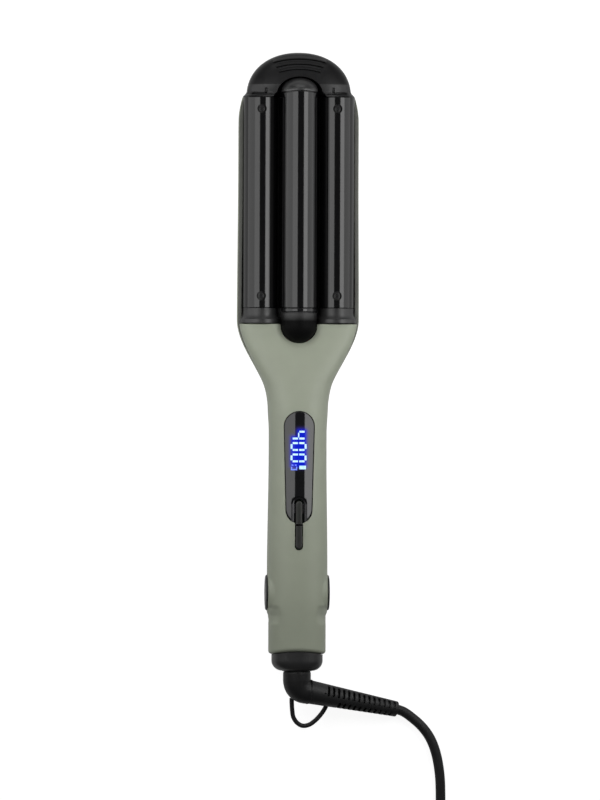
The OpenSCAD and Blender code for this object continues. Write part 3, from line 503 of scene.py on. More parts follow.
def bracket_finish():
    """Satin black plastic, lighter than the barrels."""
    return moulded("bracket plastic", (0.02, 0.02, 0.02), 0.36, 0.04, 0.1, 2500, 0.00001, 0.2, 0.45).material


def gloss_finish():
    """Polished black plastic."""
    return moulded("polished black", (0.006, 0.006, 0.0065), 0.1, 0.03, 0.1, 900, 0.000004, 0.1, 0.5).material


def barrel_finish():
    """Glossy ceramic coat on the barrels: black, with a faint ripple along them and fine flecks."""
    n = Nodes("ceramic coat")
    n.put(Base_Color=n.ramp(n.noise(9000, 0), (0.62, (0.002, 0.002, 0.0022)), (0.8, (0.009, 0.009, 0.01))),
          Roughness=n.ramp(n.noise(260, 3, (1, 0.25, 1)), (0.3, 0.07), (0.75, 0.14)),
          Normal=n.bump(n.noise(240, 1, (1, 0.12, 1)), 0.00001, 0.12), Specular_IOR_Level=colours().barrel_gloss)
    return n.material


def window_finish():
    """Polished black window, lit from below around the numerals: blue close to them and violet further out."""
    n = moulded("window", (0.005, 0.005, 0.006), 0.08, 0.02, 0.1, 900, 0.000003, 0.08, 0.5)
    place = n.axes()

    def beyond(axis, centre, half):
        away = n.maths("ABSOLUTE", n.maths("SUBTRACT", place[axis], centre * MM))
        over = n.maths("MAXIMUM", n.maths("SUBTRACT", away, half * MM), 0.0)
        return n.maths("MULTIPLY", over, over)

    # squared distances from two rectangles that hold the numerals and the marks
    squares = [n.maths("ADD", beyond("X", x, half_x), beyond("Y", DIGIT_Y + y, half_y))
               for x, half_x, y, half_y in ((-0.4, 3.1, -2.7, 7.2), (1.3, 1.5, 1.0, 7.1))]
    near = n.maths("MULTIPLY", n.maths("SQRT", n.maths("MINIMUM", *squares)), 1 / (1.5 * MM))
    glow = n.maths("POWER", 2.718, n.maths("MULTIPLY", n.maths("MULTIPLY", near, near), -1.0))
    n.put(Emission_Color=n.ramp(glow, (0.0, (0.2, 0.12, 0.9)), (0.3, (0.05, 0.05, 0.8)), (1.0, tuple(colours().glow))),
          Emission_Strength=n.maths("MULTIPLY", glow, colours().glow_strength),
          Specular_IOR_Level=n.maths("SUBTRACT", 0.5, n.maths("MULTIPLY", glow, 0.42)))
    return n.material


def numeral_finish():
    """Light guides: pale cyan, a little bluer where the noise is low; the mark at the left of the end is violet."""
    n = Nodes("numeral light")
    place = n.axes()
    mark = n.maths("MULTIPLY", n.maths("LESS_THAN", place["Y"], (DIGIT_Y - 8.7) * MM),
                   n.maths("LESS_THAN", place["X"], -0.3 * MM))
    mix = n.add("ShaderNodeMix", data_type="RGBA")
    n.link(mark, mix.inputs["Factor"])
    n.link(n.ramp(n.noise(900, 1), (0.3, (0.42, 0.72, 1.0)), (0.6, (0.72, 0.95, 1.0))), mix.inputs["A"])
    mix.inputs["B"].default_value = (0.10, 0.12, 0.95, 1)
    n.put(Emission_Color=mix.outputs["Result"], Base_Color=(0.1, 0.2, 0.4), Emission_Strength=0.95)
    return n.material


def steel_finish():
    """Turned steel with fine lines round it."""
    n = Nodes("steel")
    lines = n.noise(2600, 2, (1, 0.2, 1))
    n.put(Base_Color=n.ramp(lines, (0.3, (0.42, 0.42, 0.43)), (0.7, (0.6, 0.6, 0.61))),
          Roughness=n.ramp(lines, (0.3, 0.22), (0.7, 0.4)), Normal=n.bump(lines, 0.00001, 0.3), Metallic=1.0)
    return n.material


def cord_finish():
    """Matt rubber with broad patches and a fine skin."""
    return moulded("cord rubber", tuple(colours().cord), 0.55, 0.06, 0.15, 2600, 0.00002, 0.3, 0.3, patch=160).material


def strap_finish():
    """Woven strap: crossing waves along and across it."""
    n = Nodes("strap")
    heights = []
    for direction in ("Z", "Y"):
        wave = n.add("ShaderNodeTexWave", bands_direction=direction)
        wave.inputs["Scale"].default_value = 420
        wave.inputs["Distortion"].default_value = 0.6
        n.link(n.place, wave.inputs["Vector"])
        heights.append(wave.outputs["Fac"])
    weave = n.maths("MULTIPLY", *heights)
    n.put(Base_Color=n.ramp(weave, (0.1, (0.008, 0.008, 0.009)), (0.8, (0.03, 0.03, 0.032))),
          Normal=n.bump(weave, 0.0002, 0.6), Roughness=0.85, Sheen_Weight=0.3)
    return n.material


INSIDE = {
    "rear_cover": "black", "rear_liner": "black", "front_cover": "black",
    "left_heater": "ceramic", "right_heater": "ceramic", "centre_heater": "ceramic",
    "rear_leads": "lead", "front_leads": "lead", "circuit_board": "board",
    "rear_cover_screws": "steel", "front_cover_screws": "steel", "hinge_pin": "steel", "hinge_spring": "steel",
    "key_switches": "steel", "key_pin": "steel", "plug_pins": "steel",
    "contact_springs": "brass", "contact_rings": "brass", "swivel_socket": "ivory", "display_module": "gloss",
}


def paint_node(node, material):
    """Puts a material on a CAD node in place of what it has."""
    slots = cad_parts[node].data.materials
    slots.clear()
    slots.append(material)


# ---------- sizes and colours that a user may change ----------

def measure(name, about, value):
    """A length property."""
    return FloatProperty(name=name, description=about, default=value, subtype="DISTANCE", unit="LENGTH")


def share(name, about, value, top=1):
    """A plain number between 0 and top."""
    return FloatProperty(name=name, description=about, default=value, min=0, max=top)


def tint(name, about, value):
    """A colour property."""
    return FloatVectorProperty(name=name, description=about, default=value, subtype="COLOR", size=3, min=0, max=1)


class WaverSizes(bpy.types.PropertyGroup):
    """Sizes of the dressed pieces, in metres."""
    barrel: measure("Side barrel", "Diameter of the side barrels", 0.019)
    middle: measure("Middle barrel", "Diameter of the middle barrel", 0.0193)
    screw: measure("Barrel screw", "Diameter of the holes for the barrel screws", 0.0049)
    ridge: measure("Grip ridge", "Height of the ridges on the cool tip", 0.0008)
    cap: measure("Hinge cap", "Diameter of the hinge caps", 0.0187)
    cord: measure("Cord", "Diameter of the cord", 0.0052)


class WaverColours(bpy.types.PropertyGroup):
    """Colours and finishes, as linear values."""
    shell: tint("Shell", "Sage paint of the handle", (0.30, 0.325, 0.255))
    shell_roughness: share("Shell roughness", "Roughness of the sage paint", 0.44)
    # the rim's darker colour is painted shade on the tray's rim and inside
    rim: tint("Rim", "Inside of the tray and its rim", (0.085, 0.088, 0.076))
    plastic: tint("Plastic", "Black plastic of the tail, caps and plug", (0.013, 0.013, 0.0135))
    barrel_gloss: share("Barrel gloss", "How strongly the barrels reflect", 0.5)
    glow: tint("Glow", "Light round the numerals", (0.0, 0.02, 1.0))
    glow_strength: share("Glow strength", "Strength of the light round the numerals", 0.6, 5)
    cord: tint("Cord", "Rubber of cord and strain relief", (0.012, 0.012, 0.0125))


def sizes():
    return bpy.context.scene.waver_sizes


# ---------- stage ----------

CAMERA_FAR, CAMERA_LEVEL = 6.0, 0.016                          # metres from the plane at that height
CAMERA_AT = (0.0011, 0.1017)                                   # x and y in that plane
CAMERA_LEAN, CAMERA_ROLL = math.radians(3.5), math.radians(0.23)
CAMERA_VIEW = 0.4224                                           # height of the picture in that plane, in metres
LAMP_FAR, LAMP_SPAN = 0.34, (0.03, 0.33)                       # metres from the middle barrel, and along Y
HEAD_LAMP = Vector((0, 0.72, 0.30)), Vector((0.5, 0, 0)), Vector((0, -0.12, 0.26))   # middle and two edges
LAMPS = (("left upper", -13.5, -45, 2.4), ("left lower", -45, -93, 1.6),
         ("right upper", 24.5, 50, 3.8), ("right lower", 50, 93, 1.4))
FLOOR_HALF, FLOOR_Z = 9, -0.0003


class WAVER_OT_stage(bpy.types.Operator):
    """Camera, floor, surroundings and lamps"""
    bl_idname = "waver.stage"
    bl_label = "Stage"

    def execute(self, context):
        scene = context.scene
        scene.view_settings.view_transform = "Standard"
        data = bpy.data.cameras.new("camera")
        data.lens = data.sensor_width * CAMERA_FAR / CAMERA_VIEW
        data.clip_start, data.clip_end = 0.01, 50
        camera = bpy.data.objects.new("camera", data)
        camera.location = (CAMERA_AT[0] - CAMERA_FAR * math.sin(CAMERA_LEAN), CAMERA_AT[1],
                           CAMERA_LEVEL + CAMERA_FAR * math.cos(CAMERA_LEAN))
        turn = Matrix.Rotation(-CAMERA_LEAN, 3, "Y") @ Matrix.Rotation(CAMERA_ROLL, 3, "Z")
        camera.rotation_euler = turn.to_euler()
        scene.collection.objects.link(camera)
        scene.camera = camera
        self.floor()
        self.surroundings(scene)
        # soft boxes on both sides leave the sky above the camera dark, so that the barrels show a dark stripe; they
        # end near the grip's far end, so that the light falls off towards the tail
        for lamp in LAMPS:
            self.lamp(*lamp)
        self.sheet("head", *HEAD_LAMP, 1.4)
        return {"FINISHED"}

    def floor(self):
        """A floor that looks white to the camera and weaker in reflections, and that takes the part's shadow."""
        mesh = bpy.data.meshes.new("floor")
        corners = [(x * FLOOR_HALF, y * FLOOR_HALF, FLOOR_Z) for x, y in ((-1, -1), (1, -1), (1, 1), (-1, 1))]
        mesh.from_pydata(corners, [], [(0, 1, 2, 3)])
        floor = bpy.data.objects.new("floor", mesh)
        bpy.context.scene.collection.objects.link(floor)
        n = Nodes("floor")
        rays = n.add("ShaderNodeLightPath").outputs
        seen = n.maths("MAXIMUM", rays["Is Camera Ray"], n.maths("MULTIPLY", rays["Is Glossy Ray"], 0.4))
        n.put(Base_Color=(0.34, 0.34, 0.34), Roughness=0.9, Specular_IOR_Level=0.0, Emission_Color=(1, 1, 1),
              Emission_Strength=n.maths("MULTIPLY", seen, 0.9))
        mesh.materials.append(n.material)

    def surroundings(self, scene):
        """White where the camera looks past the floor, and dark for everything else."""
        world = bpy.data.worlds.new("studio")
        world.use_nodes = True
        scene.world = world
        tree = world.node_tree
        rays = tree.nodes.new("ShaderNodeLightPath")
        ramp = tree.nodes.new("ShaderNodeValToRGB")
        ramp.color_ramp.elements[0].color = (0.09, 0.09, 0.09, 1)
        tree.links.new(rays.outputs["Is Camera Ray"], ramp.inputs["Fac"])
        tree.links.new(ramp.outputs["Color"], tree.nodes["Background"].inputs["Color"])

    def lamp(self, name, start, stop, level):
        """A rectangle of even light whose long edges lie at two angles in degrees from the vertical, seen from the
        middle barrel; level is its radiance."""
        near, far = (Vector((math.sin(a), 0, math.cos(a))) * LAMP_FAR for a in map(math.radians, (start, stop)))
        middle = (near + far) / 2 + Vector((0, sum(LAMP_SPAN) / 2, MIDDLE_Z * MM))
        self.sheet(name, middle, far - near, Vector((0, LAMP_SPAN[1] - LAMP_SPAN[0], 0)), level)

    def sheet(self, name, middle, across, along, level):
        """A rectangular area lamp given by its middle and two edges, shining to the side where the part is."""
        back = across.cross(along).normalized()
        if back.dot(middle - Vector((0, 0.15, 0))) < 0:
            back = -back
        data = bpy.data.lights.new(name + " box", "AREA")
        data.shape, data.size, data.size_y = "RECTANGLE", across.length, along.length
        data.energy = level * math.pi * across.length * along.length
        lamp = bpy.data.objects.new(name + " box", data)
        turn = Matrix((along.normalized().cross(back), along.normalized(), back)).transposed().to_4x4()
        lamp.matrix_world = Matrix.Translation(middle) @ turn
        lamp.visible_camera = False
        bpy.context.scene.collection.objects.link(lamp)


# ---------- cord ----------

# the cord in millimetres: its way to the coil, the coil, and from the coil's end, as steps from there, to the plug
LEAD = [
    (53.7, -61.7, 4.3), (57.8, -63.3, 3.2), (62.3, -66.5, 2.7), (66.5, -70.2, 2.7), (70, -74.4, 2.7),
    (72.7, -79.2, 2.7), (74.7, -84.8, 2.7), (76.1, -91.2, 2.7), (77, -98.5, 2.7), (77.3, -106.5, 2.7),
    (77.3, -115, 2.7), (77, -124, 2.8), (76.8, -133, 3.2), (76.7, -141, 3.8), (76.7, -149.8, 3.8),
]
COIL_TURNS, COIL_PITCH, COIL_RISE = 9.25, 6.4, 6.1
LAYERS, CLIMB_TURNS = 4, 0.5
LAYER_TURNS = (COIL_TURNS - CLIMB_TURNS * (LAYERS - 1)) / LAYERS
COIL_OUT, COIL_IN = (28 + side * COIL_PITCH * LAYER_TURNS / 2 for side in (1, -1))
COIL_CENTRE = np.array([76.7 - COIL_OUT, -155.0, 3.8])
COIL_TAIL = [
    (0, 0, 0), (-7, 0, 0), (-14, -0.3, -1.2), (-20.5, -0.8, -3.4), (-27, -1.2, -6.4), (-33.5, -1.5, -9.8),
    (-40, -1.7, -12.8), (-45, -1.8, -14.7), (-50, -1.8, -15.2), (-54, -1.8, -15.2),
]


def coil_points(per_turn=36):
    """Clockwise turns in four layers: the radius runs in and out by the pitch, and half a turn between two layers
    climbs by the rise at an even radius."""
    u = np.linspace(0, COIL_TURNS, int(COIL_TURNS * per_turn) + 1)
    layer = np.minimum(LAYERS - 1, np.floor(u / (LAYER_TURNS + CLIMB_TURNS)))
    f = u - layer * (LAYER_TURNS + CLIMB_TURNS)
    climb = np.clip(f - LAYER_TURNS, 0, None) / CLIMB_TURNS
    step = COIL_PITCH * np.minimum(f, LAYER_TURNS)
    r = np.where(layer % 2 == 0, COIL_OUT - step, COIL_IN + step)
    z = COIL_RISE * (layer + np.where(layer < LAYERS - 1, ease(climb), 0))
    return COIL_CENTRE + np.stack([r * np.cos(2 * np.pi * u), -r * np.sin(2 * np.pi * u), z], -1)


def cord_route():
    """The route from the strain relief to the coil, round it and down to the plug."""
    tail = COIL_CENTRE + [-5.2, -COIL_OUT, (LAYERS - 1) * COIL_RISE] + np.array(COIL_TAIL)
    return np.concatenate([smooth_path(LEAD, 6)[:-1], coil_points(), smooth_path(tail, 5)])


def cad_box(node):
    """Lowest and highest corner of a CAD node's box, in millimetres."""
    return (np.array(end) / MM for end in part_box(node))


class WAVER_OT_cord(bpy.types.Operator):
    """Cord with its coil, tie and plug"""
    bl_idname = "waver.cord"
    bl_label = "Cord"

    def execute(self, context):
        route = cord_route()
        thick = sizes().cord
        tie = self.tie()
        plug = self.plug()
        cord = dress("cord", [tube(route, thick / MM / 2, 20)], "swivel", ["cord_lead", "cord_coil", "cord_tail"],
                     cord_finish(), 60)
        return {"FINISHED"}

    def tie(self):
        """A strap: a thin band carried round a rectangle with round corners, its free end lying on it."""
        lo, hi = cad_box("cord_tie")
        centre, half = (lo + hi) / 2, (hi - lo) / 2
        t = full_turn(96)

        def loop(inset):
            x = (half[0] - inset) * bent(np.cos(t), 0.42)
            z = (half[2] - inset) * bent(np.sin(t), 0.42)
            return np.column_stack([centre[0] + x, 0 * t, centre[2] + z])

        rows = [(0.1, -half[1]), (0.0, -half[1] + 0.15), (0.0, half[1] - 0.15), (0.1, half[1]), (0.7, half[1]),
                (0.8, half[1] - 0.15), (0.8, -half[1] + 0.15), (0.7, -half[1])]
        rings = [loop(inset) + [0, centre[1] + y, 0] for inset, y in rows]
        y0, y1 = centre[1] - half[1] + 0.6, centre[1] + half[1] - 0.6
        x0, x1, top = centre[0] - half[0] * 0.55, centre[0] + half[0] * 0.6, hi[2] + 0.02
        flap = skin([np.array([[x, y0, top - 0.3], [x, y1, top - 0.3], [x, y1, z], [x, y0, z]])
                     for x, z in ((x0, top), (x0 + 0.4, top + 0.45), (x1, top + 0.45), (x1 + 0.4, top))])
        return dress("cord_strap", [skin(rings, loop=True), flap], "swivel", ["cord_tie"],
                     strap_finish(), 40)

    def plug(self):
        """Sections of a flat plug: rounded boxes whose width and height grow from the cord to the face."""
        lo, hi = cad_box("plug_body")
        back, mid = hi[0], (lo[1] + hi[1]) / 2
        s = np.array([0, 0.5, 3, 6, 9, 12, 16, 20, 24, 29, 33, 34.2, 34.8, 35.0])
        w = np.array([3.2, 3.6, 4.0, 4.6, 5.8, 7.6, 10.4, 12.3, 13.0, 13.0, 12.9, 12.5, 11.7, 10.5])
        h = np.array([3.2, 3.6, 3.8, 4.1, 4.6, 5.2, 6.0, 6.5, 6.8, 6.9, 6.9, 6.5, 5.7, 4.6])
        t = full_turn(72)
        fine = np.linspace(0, s[-1], 120)
        w, h = np.interp(fine, s, w), np.interp(fine, s, h)
        w += 0.35 * np.sin((fine - 9) * 2 * np.pi / 2.4) * ((fine > 9) & (fine < 21))      # grip ridges
        rings = np.broadcast_arrays((back - fine)[:, None], mid + w[:, None] * bent(np.cos(t), 0.55),
                                    6.9 + h[:, None] * bent(np.sin(t), 0.6))
        return dress("plug_shell", [skin(np.stack(rings, -1))], "swivel", ["plug_body"],
                     black_finish("plug plastic", 0.5), 40)


class WAVER_OT_relief(bpy.types.Operator):
    """Elbow of the swivel, strain relief with its slots, and hanging loop"""
    bl_idname = "waver.relief"
    bl_label = "Strain relief"

    def execute(self, context):
        along = CORD_EXIT - ELBOW
        length = np.linalg.norm(along)
        along = along / length
        rubber = moulded("relief rubber", tuple(colours().cord), 0.5, 0.05, 0.12, 3000, 0.00003, 0.3, 0.35).material
        self.elbow(along)
        self.slotted(along, length, rubber)
        loop = [(-2.5, -55.8, 13.2), (-2.4, -59, 12.8), (-2.1, -62.5, 12.2), (-1.5, -65.8, 11.5), (0.4, -68.7, 10.9),
                (3.3, -70.4, 10.6), (6.7, -70, 10.3), (9.9, -67.9, 10.1), (12.9, -64.8, 10), (15.2, -61.4, 10.2),
                (16.7, -58.2, 10.6)]
        dress("hanging_ring", [tube(smooth_path(loop, 8), 1.2, 20)], "swivel", ["hanging_loop"],
              rubber, 60)
        return {"FINISHED"}

    def elbow(self, along):
        """A pipe whose middle line leaves the tail straight and bends on a quadratic curve into the relief."""
        t = np.linspace(0, 1, 40)[:, None]
        start, knee, end = np.array([0, -46.4, TAIL_Z]), np.array([0, -52.0, TAIL_Z]), ELBOW + along * 6.6
        bend = (1 - t) ** 2 * start + 2 * t * (1 - t) * knee + t ** 2 * end
        straight = np.array([[0, y, TAIL_Z] for y in np.linspace(TAIL_END - 0.35, -46.2, 6)])
        line = np.concatenate([straight, bend])
        radius = np.interp(np.arange(len(line)), [0, 6, len(line) - 1], [7.35, 7.35, 6.4])
        radius[[0, -1]] -= 0.3
        seam = turned([(6.45, 0), (6.6, 0.15), (6.6, 0.75), (6.45, 0.9)], ELBOW + along * 6.3, along, 96)
        shaft = turned([(4.5, 0), (4.5, 26)], (0, -43, TAIL_Z), Y_AXIS, 48)
        dress("elbow", [tube(line, radius, 72, (1, 0, 0.001)), shaft, seam], "swivel", ["swivel_elbow"],
              black_finish("elbow plastic", 0.42, 0.25), 40)

    def slotted(self, along, length, rubber):
        """A cone with two rows of slots half a pitch apart: the radius drops to the core between each slot's two
        edges, over the angles that the row covers."""
        pitch, root, wide, step = 2.88, 6.6, 1.4, 0.02
        upper = [length - 3.4 - pitch * k for k in range(14)]
        lower = [length - 3.2 - pitch * (k + 0.5) for k in range(11)]
        edges = sorted(v for s in upper + lower for v in (s, s + step, s + wide, s + wide + step))
        s = np.concatenate([[root, root + 0.12, root + 0.5], np.linspace(root + 1, min(edges) - 0.3, 10), edges,
                            [length - 0.5, length - 0.15, length]])
        outer = 6.3 - 2.2 * (s - root) / (length - root)
        outer[[0, 1, -2, -1]] -= 0.5, 0.15, 0.12, 0.5
        # the upper row opens towards the camera, and again on the far side; the lower row opens downwards
        windows = [(-0.03, 1.0), (np.pi - 0.03, np.pi + 0.7)], [(-1.75, -0.5)]
        ends = np.array([v for row in windows for pair in row for v in pair])
        t = np.sort(np.concatenate([full_turn(72) - 0.75 * np.pi, ends, ends + step]))

        def within(values, spans):
            return np.any([(values > a + step / 2) & (values < b + step / 2) for a, b in spans], 0)

        cut = np.zeros((len(s), len(t)), bool)
        for starts, row in zip((upper, lower), windows):
            cut |= within(s, [(a, a + wide) for a in starts])[:, None] & within(t, row)[None]
        r = np.where(cut, np.minimum(3.2, outer - 0.4)[:, None], outer[:, None])
        # angles are measured from the side that the photograph shows
        up = np.cross([0, 0, 1.0], along)
        up /= np.linalg.norm(up)
        back = np.cross(along, up)
        ring = r[..., None] * (np.cos(t)[None, :, None] * back + np.sin(t)[None, :, None] * up)
        dimple = turned([(0.45, 0), (0.45, 2)], ELBOW + along * 14.3 + up * 0.9 + back * 4.7, back, 24)
        dress("relief", [skin(ELBOW + s[:, None, None] * along + ring)], "swivel", ["strain_relief"],
              rubber, 30, cutters=[dimple])


# ---------- arms ----------

class WAVER_OT_front_shell(bpy.types.Operator):
    """Front shell of the handle, with its hollow, openings and round cheeks"""
    bl_idname = "waver.front_shell"
    bl_label = "Front shell"

    def execute(self, context):
        fillet = 0.55
        tail_y, tail_in = tail_edge(6)
        turn = np.linspace(0, QUARTER, 6)
        body = np.concatenate([np.linspace(-28.7, -17, 18), np.linspace(-16.5, 12, 72), np.linspace(13, 92, 80),
                               np.linspace(93, SHELL_END - fillet - 0.4, 66)])
        y = np.concatenate([tail_y, body, SHELL_END - fillet * (1 - np.sin(turn))])
        inset = np.concatenate([tail_in, 0 * body, fillet * (1 - np.cos(turn))])
        outer = front_arch(y, inset, 129)
        # the shell dips softly towards the neck's ball
        away = np.linalg.norm(outer - [0, NECK_Y, MIDDLE_Z], axis=2) - SEAT_R
        outer[..., 2] -= 1.6 * ease(1 - away / 3.2) * (outer[..., 2] > FRONT_Z + 3)
        hollow_y = np.concatenate([[-36.0], np.linspace(-30, 92, 40), np.linspace(94, SHELL_END - WALL, 16)])
        hollow = front_arch(hollow_y, np.full(hollow_y.shape, WALL), 49, boss=False)
        below = hollow[:, [0, -1]] - [0, 0, 3.0]
        hollow = skin(np.concatenate([below[:, :1], hollow, below[:, 1:]], 1))
        cheeks = [across_x(9.2, side * 12.3, side * 15.75) for side in SIDES]
        seat = turned(np.concatenate([corner(0.01, -SEAT_R, SEAT_R, 0, 24, "r"), [(SEAT_R, 12)]]),
                      (0, NECK_Y, MIDDLE_Z), Y_AXIS, 160)
        openings = [prism(stadium(*WINDOW, -0.25)), prism(key_outline(2.15)), seat, across_x(2.06, -17, 17, 48)]
        dress("handle_front", [skin(outer)], "front_arm", ["front_shell"], shell_finish(), 38,
              cutters=[hollow] + openings, join=cheeks)
        return {"FINISHED"}


class WAVER_OT_rear_shell(bpy.types.Operator):
    """Rear shell: heel, grip and the open tray round the barrels"""
    bl_idname = "waver.rear_shell"
    bl_label = "Rear shell"

    def execute(self, context):
        y = np.concatenate([np.linspace(HINGE_END, 92, 60), np.linspace(93, 145, 60), np.linspace(147, 250, 20),
                            np.linspace(251, TRAY_END - 0.3, 20), [TRAY_END - 0.1, TRAY_END]])
        outer = rear_rings(y, 0, 129)
        outer[-2:, :, 0] *= [[0.9967], [0.99]]
        inner = rear_rings(y, WALL, 129)[:, ::-1]
        inner[..., 2] = np.minimum(inner[..., 2], REAR_TOP)
        heel_y = np.concatenate([-14.1 + 3.1 * (1 - np.cos(np.linspace(0, QUARTER, 24))),
                                 np.linspace(-10.5, HINGE_END, 30)])
        lugs = [turned([(2.1, side * 9), (4.6, side * 9), (5.0, side * 9.35), (5.0, side * 11.75),
                        (4.8, side * 12), (2.1, side * 12)], (0, 0, PART_Z), X_AXIS, 64, True) for side in SIDES]
        pockets = [across_x(9.65, side * 12, side * 20, 128) for side in SIDES]
        paint = shell_finish()
        dress("handle_rear", [skin(rear_rings(heel_y, 0, 129))], "rear_arm", ["rear_shell"], paint, 38,
              cutters=pockets + [slab(-9, 9, -7, 16, 8.8, 20), across_x(2.02, -20, 20, 48)])
        tray = dress("handle_tray", [skin(np.concatenate([outer, inner], 1))], "rear_arm", [], paint, 38)
        dress("hinge_lugs", lugs, "rear_arm", [], paint, 38)
        # the rim and the inside of the tray take the darker paint, a painted shade
        mesh = tray.data
        mesh.materials.append(rim_shade_finish())
        middle = np.zeros(len(mesh.polygons) * 3)
        mesh.polygons.foreach_get("center", middle)
        x, y, z = middle.reshape(-1, 3).T / MM
        edge = tray_half(y) - np.abs(x)
        inside = (y > 100) & ((edge > WALL - 0.05) | ((edge > 0.45) & (z > 14.0)))
        mesh.polygons.foreach_set("material_index", inside.astype(np.int32))
        return {"FINISHED"}


class WAVER_OT_tail(bpy.types.Operator):
    """Back of the tail and the black tail cap"""
    bl_idname = "waver.tail"
    bl_label = "Tail"

    def execute(self, context):
        a = arch_angles(97)
        power = 2 / squareness(0)
        edge_y, edge_in = tail_edge(8)
        y = np.concatenate([edge_y, np.linspace(-28.7, -9, 40)])[:, None]
        inset = np.concatenate([edge_in, np.zeros(40)])[:, None]
        floor = 3 + 3.4 * ease((-y - 10) / 25) + inset
        x = (half_width(np.minimum(y, -12)) - inset) * bent(np.cos(a), power)
        z = 15.2 + (floor - 15.2) * np.sin(a) ** power
        back = skin(np.stack(np.broadcast_arrays(x, y + tail_bend(x, y), z), -1))
        dress("tail_under", [back], "front_arm", ["tail_back"], shell_finish(), 38,
              cutters=[across_x(15.8, -30, 30, 160)])
        # the cap runs straight for a length and then closes on a quarter ellipse
        t, straight, deep = full_turn(128), 4.6, 5.3
        d = np.concatenate([np.linspace(-3, straight, 14), straight + deep * np.sin(np.linspace(0.06, QUARTER, 22))])
        s = np.sqrt(1 - np.minimum(np.clip(d - straight, 0, None) / (deep + 0.1), 0.999) ** 2)
        x = (7.75 + 5.75 * s)[:, None] * bent(np.cos(t), power)
        z = TAIL_Z + (7.75 + 3.05 * s)[:, None] * bent(np.sin(t), power)
        cap = skin(np.stack([x, np.minimum(CAP_Y - d[:, None], tail_line(x) - 0.12), z], -1))
        lip = turned([(7.5, 0.6), (7.9, 0.6), (7.9, -0.1), (7.7, -0.2), (7.5, -0.2)], (0, TAIL_END, TAIL_Z),
                     Y_AXIS, 96, True)
        dress("tail_end_cap", [cap, lip], "front_arm", ["tail_cap"],
              black_finish("tail plastic", 0.38, 0.7), 42)
        return {"FINISHED"}


class WAVER_OT_caps(bpy.types.Operator):
    """Round caps over the ends of the hinge"""
    bl_idname = "waver.caps"
    bl_label = "Hinge caps"

    def execute(self, context):
        r = sizes().cap / MM / 2
        profile = np.concatenate([[(0.01, 0), (r, 0)], corner(r, 0.2, r - 1.0, 0.9, 8), [(r - 2.2, 0.9)],
                                  corner(r - 2.3, 0.85, r - 2.6, 0.6, 4), corner(r - 2.9, 0.6, r - 3.2, 0.9, 4, "r"),
                                  [(4, 0.94), (0.01, 0.98)]])
        finish = black_finish("cap plastic", 0.34, 0.25)
        for name, side in zip(("left", "right"), SIDES):
            dress(name + "_cap", [turned(profile, (side * CAP_X, 0, PART_Z), (side, 0, 0), 128)], "front_arm",
                  [name + "_hinge_cap"], finish, 40)
        return {"FINISHED"}


# ---------- head ----------

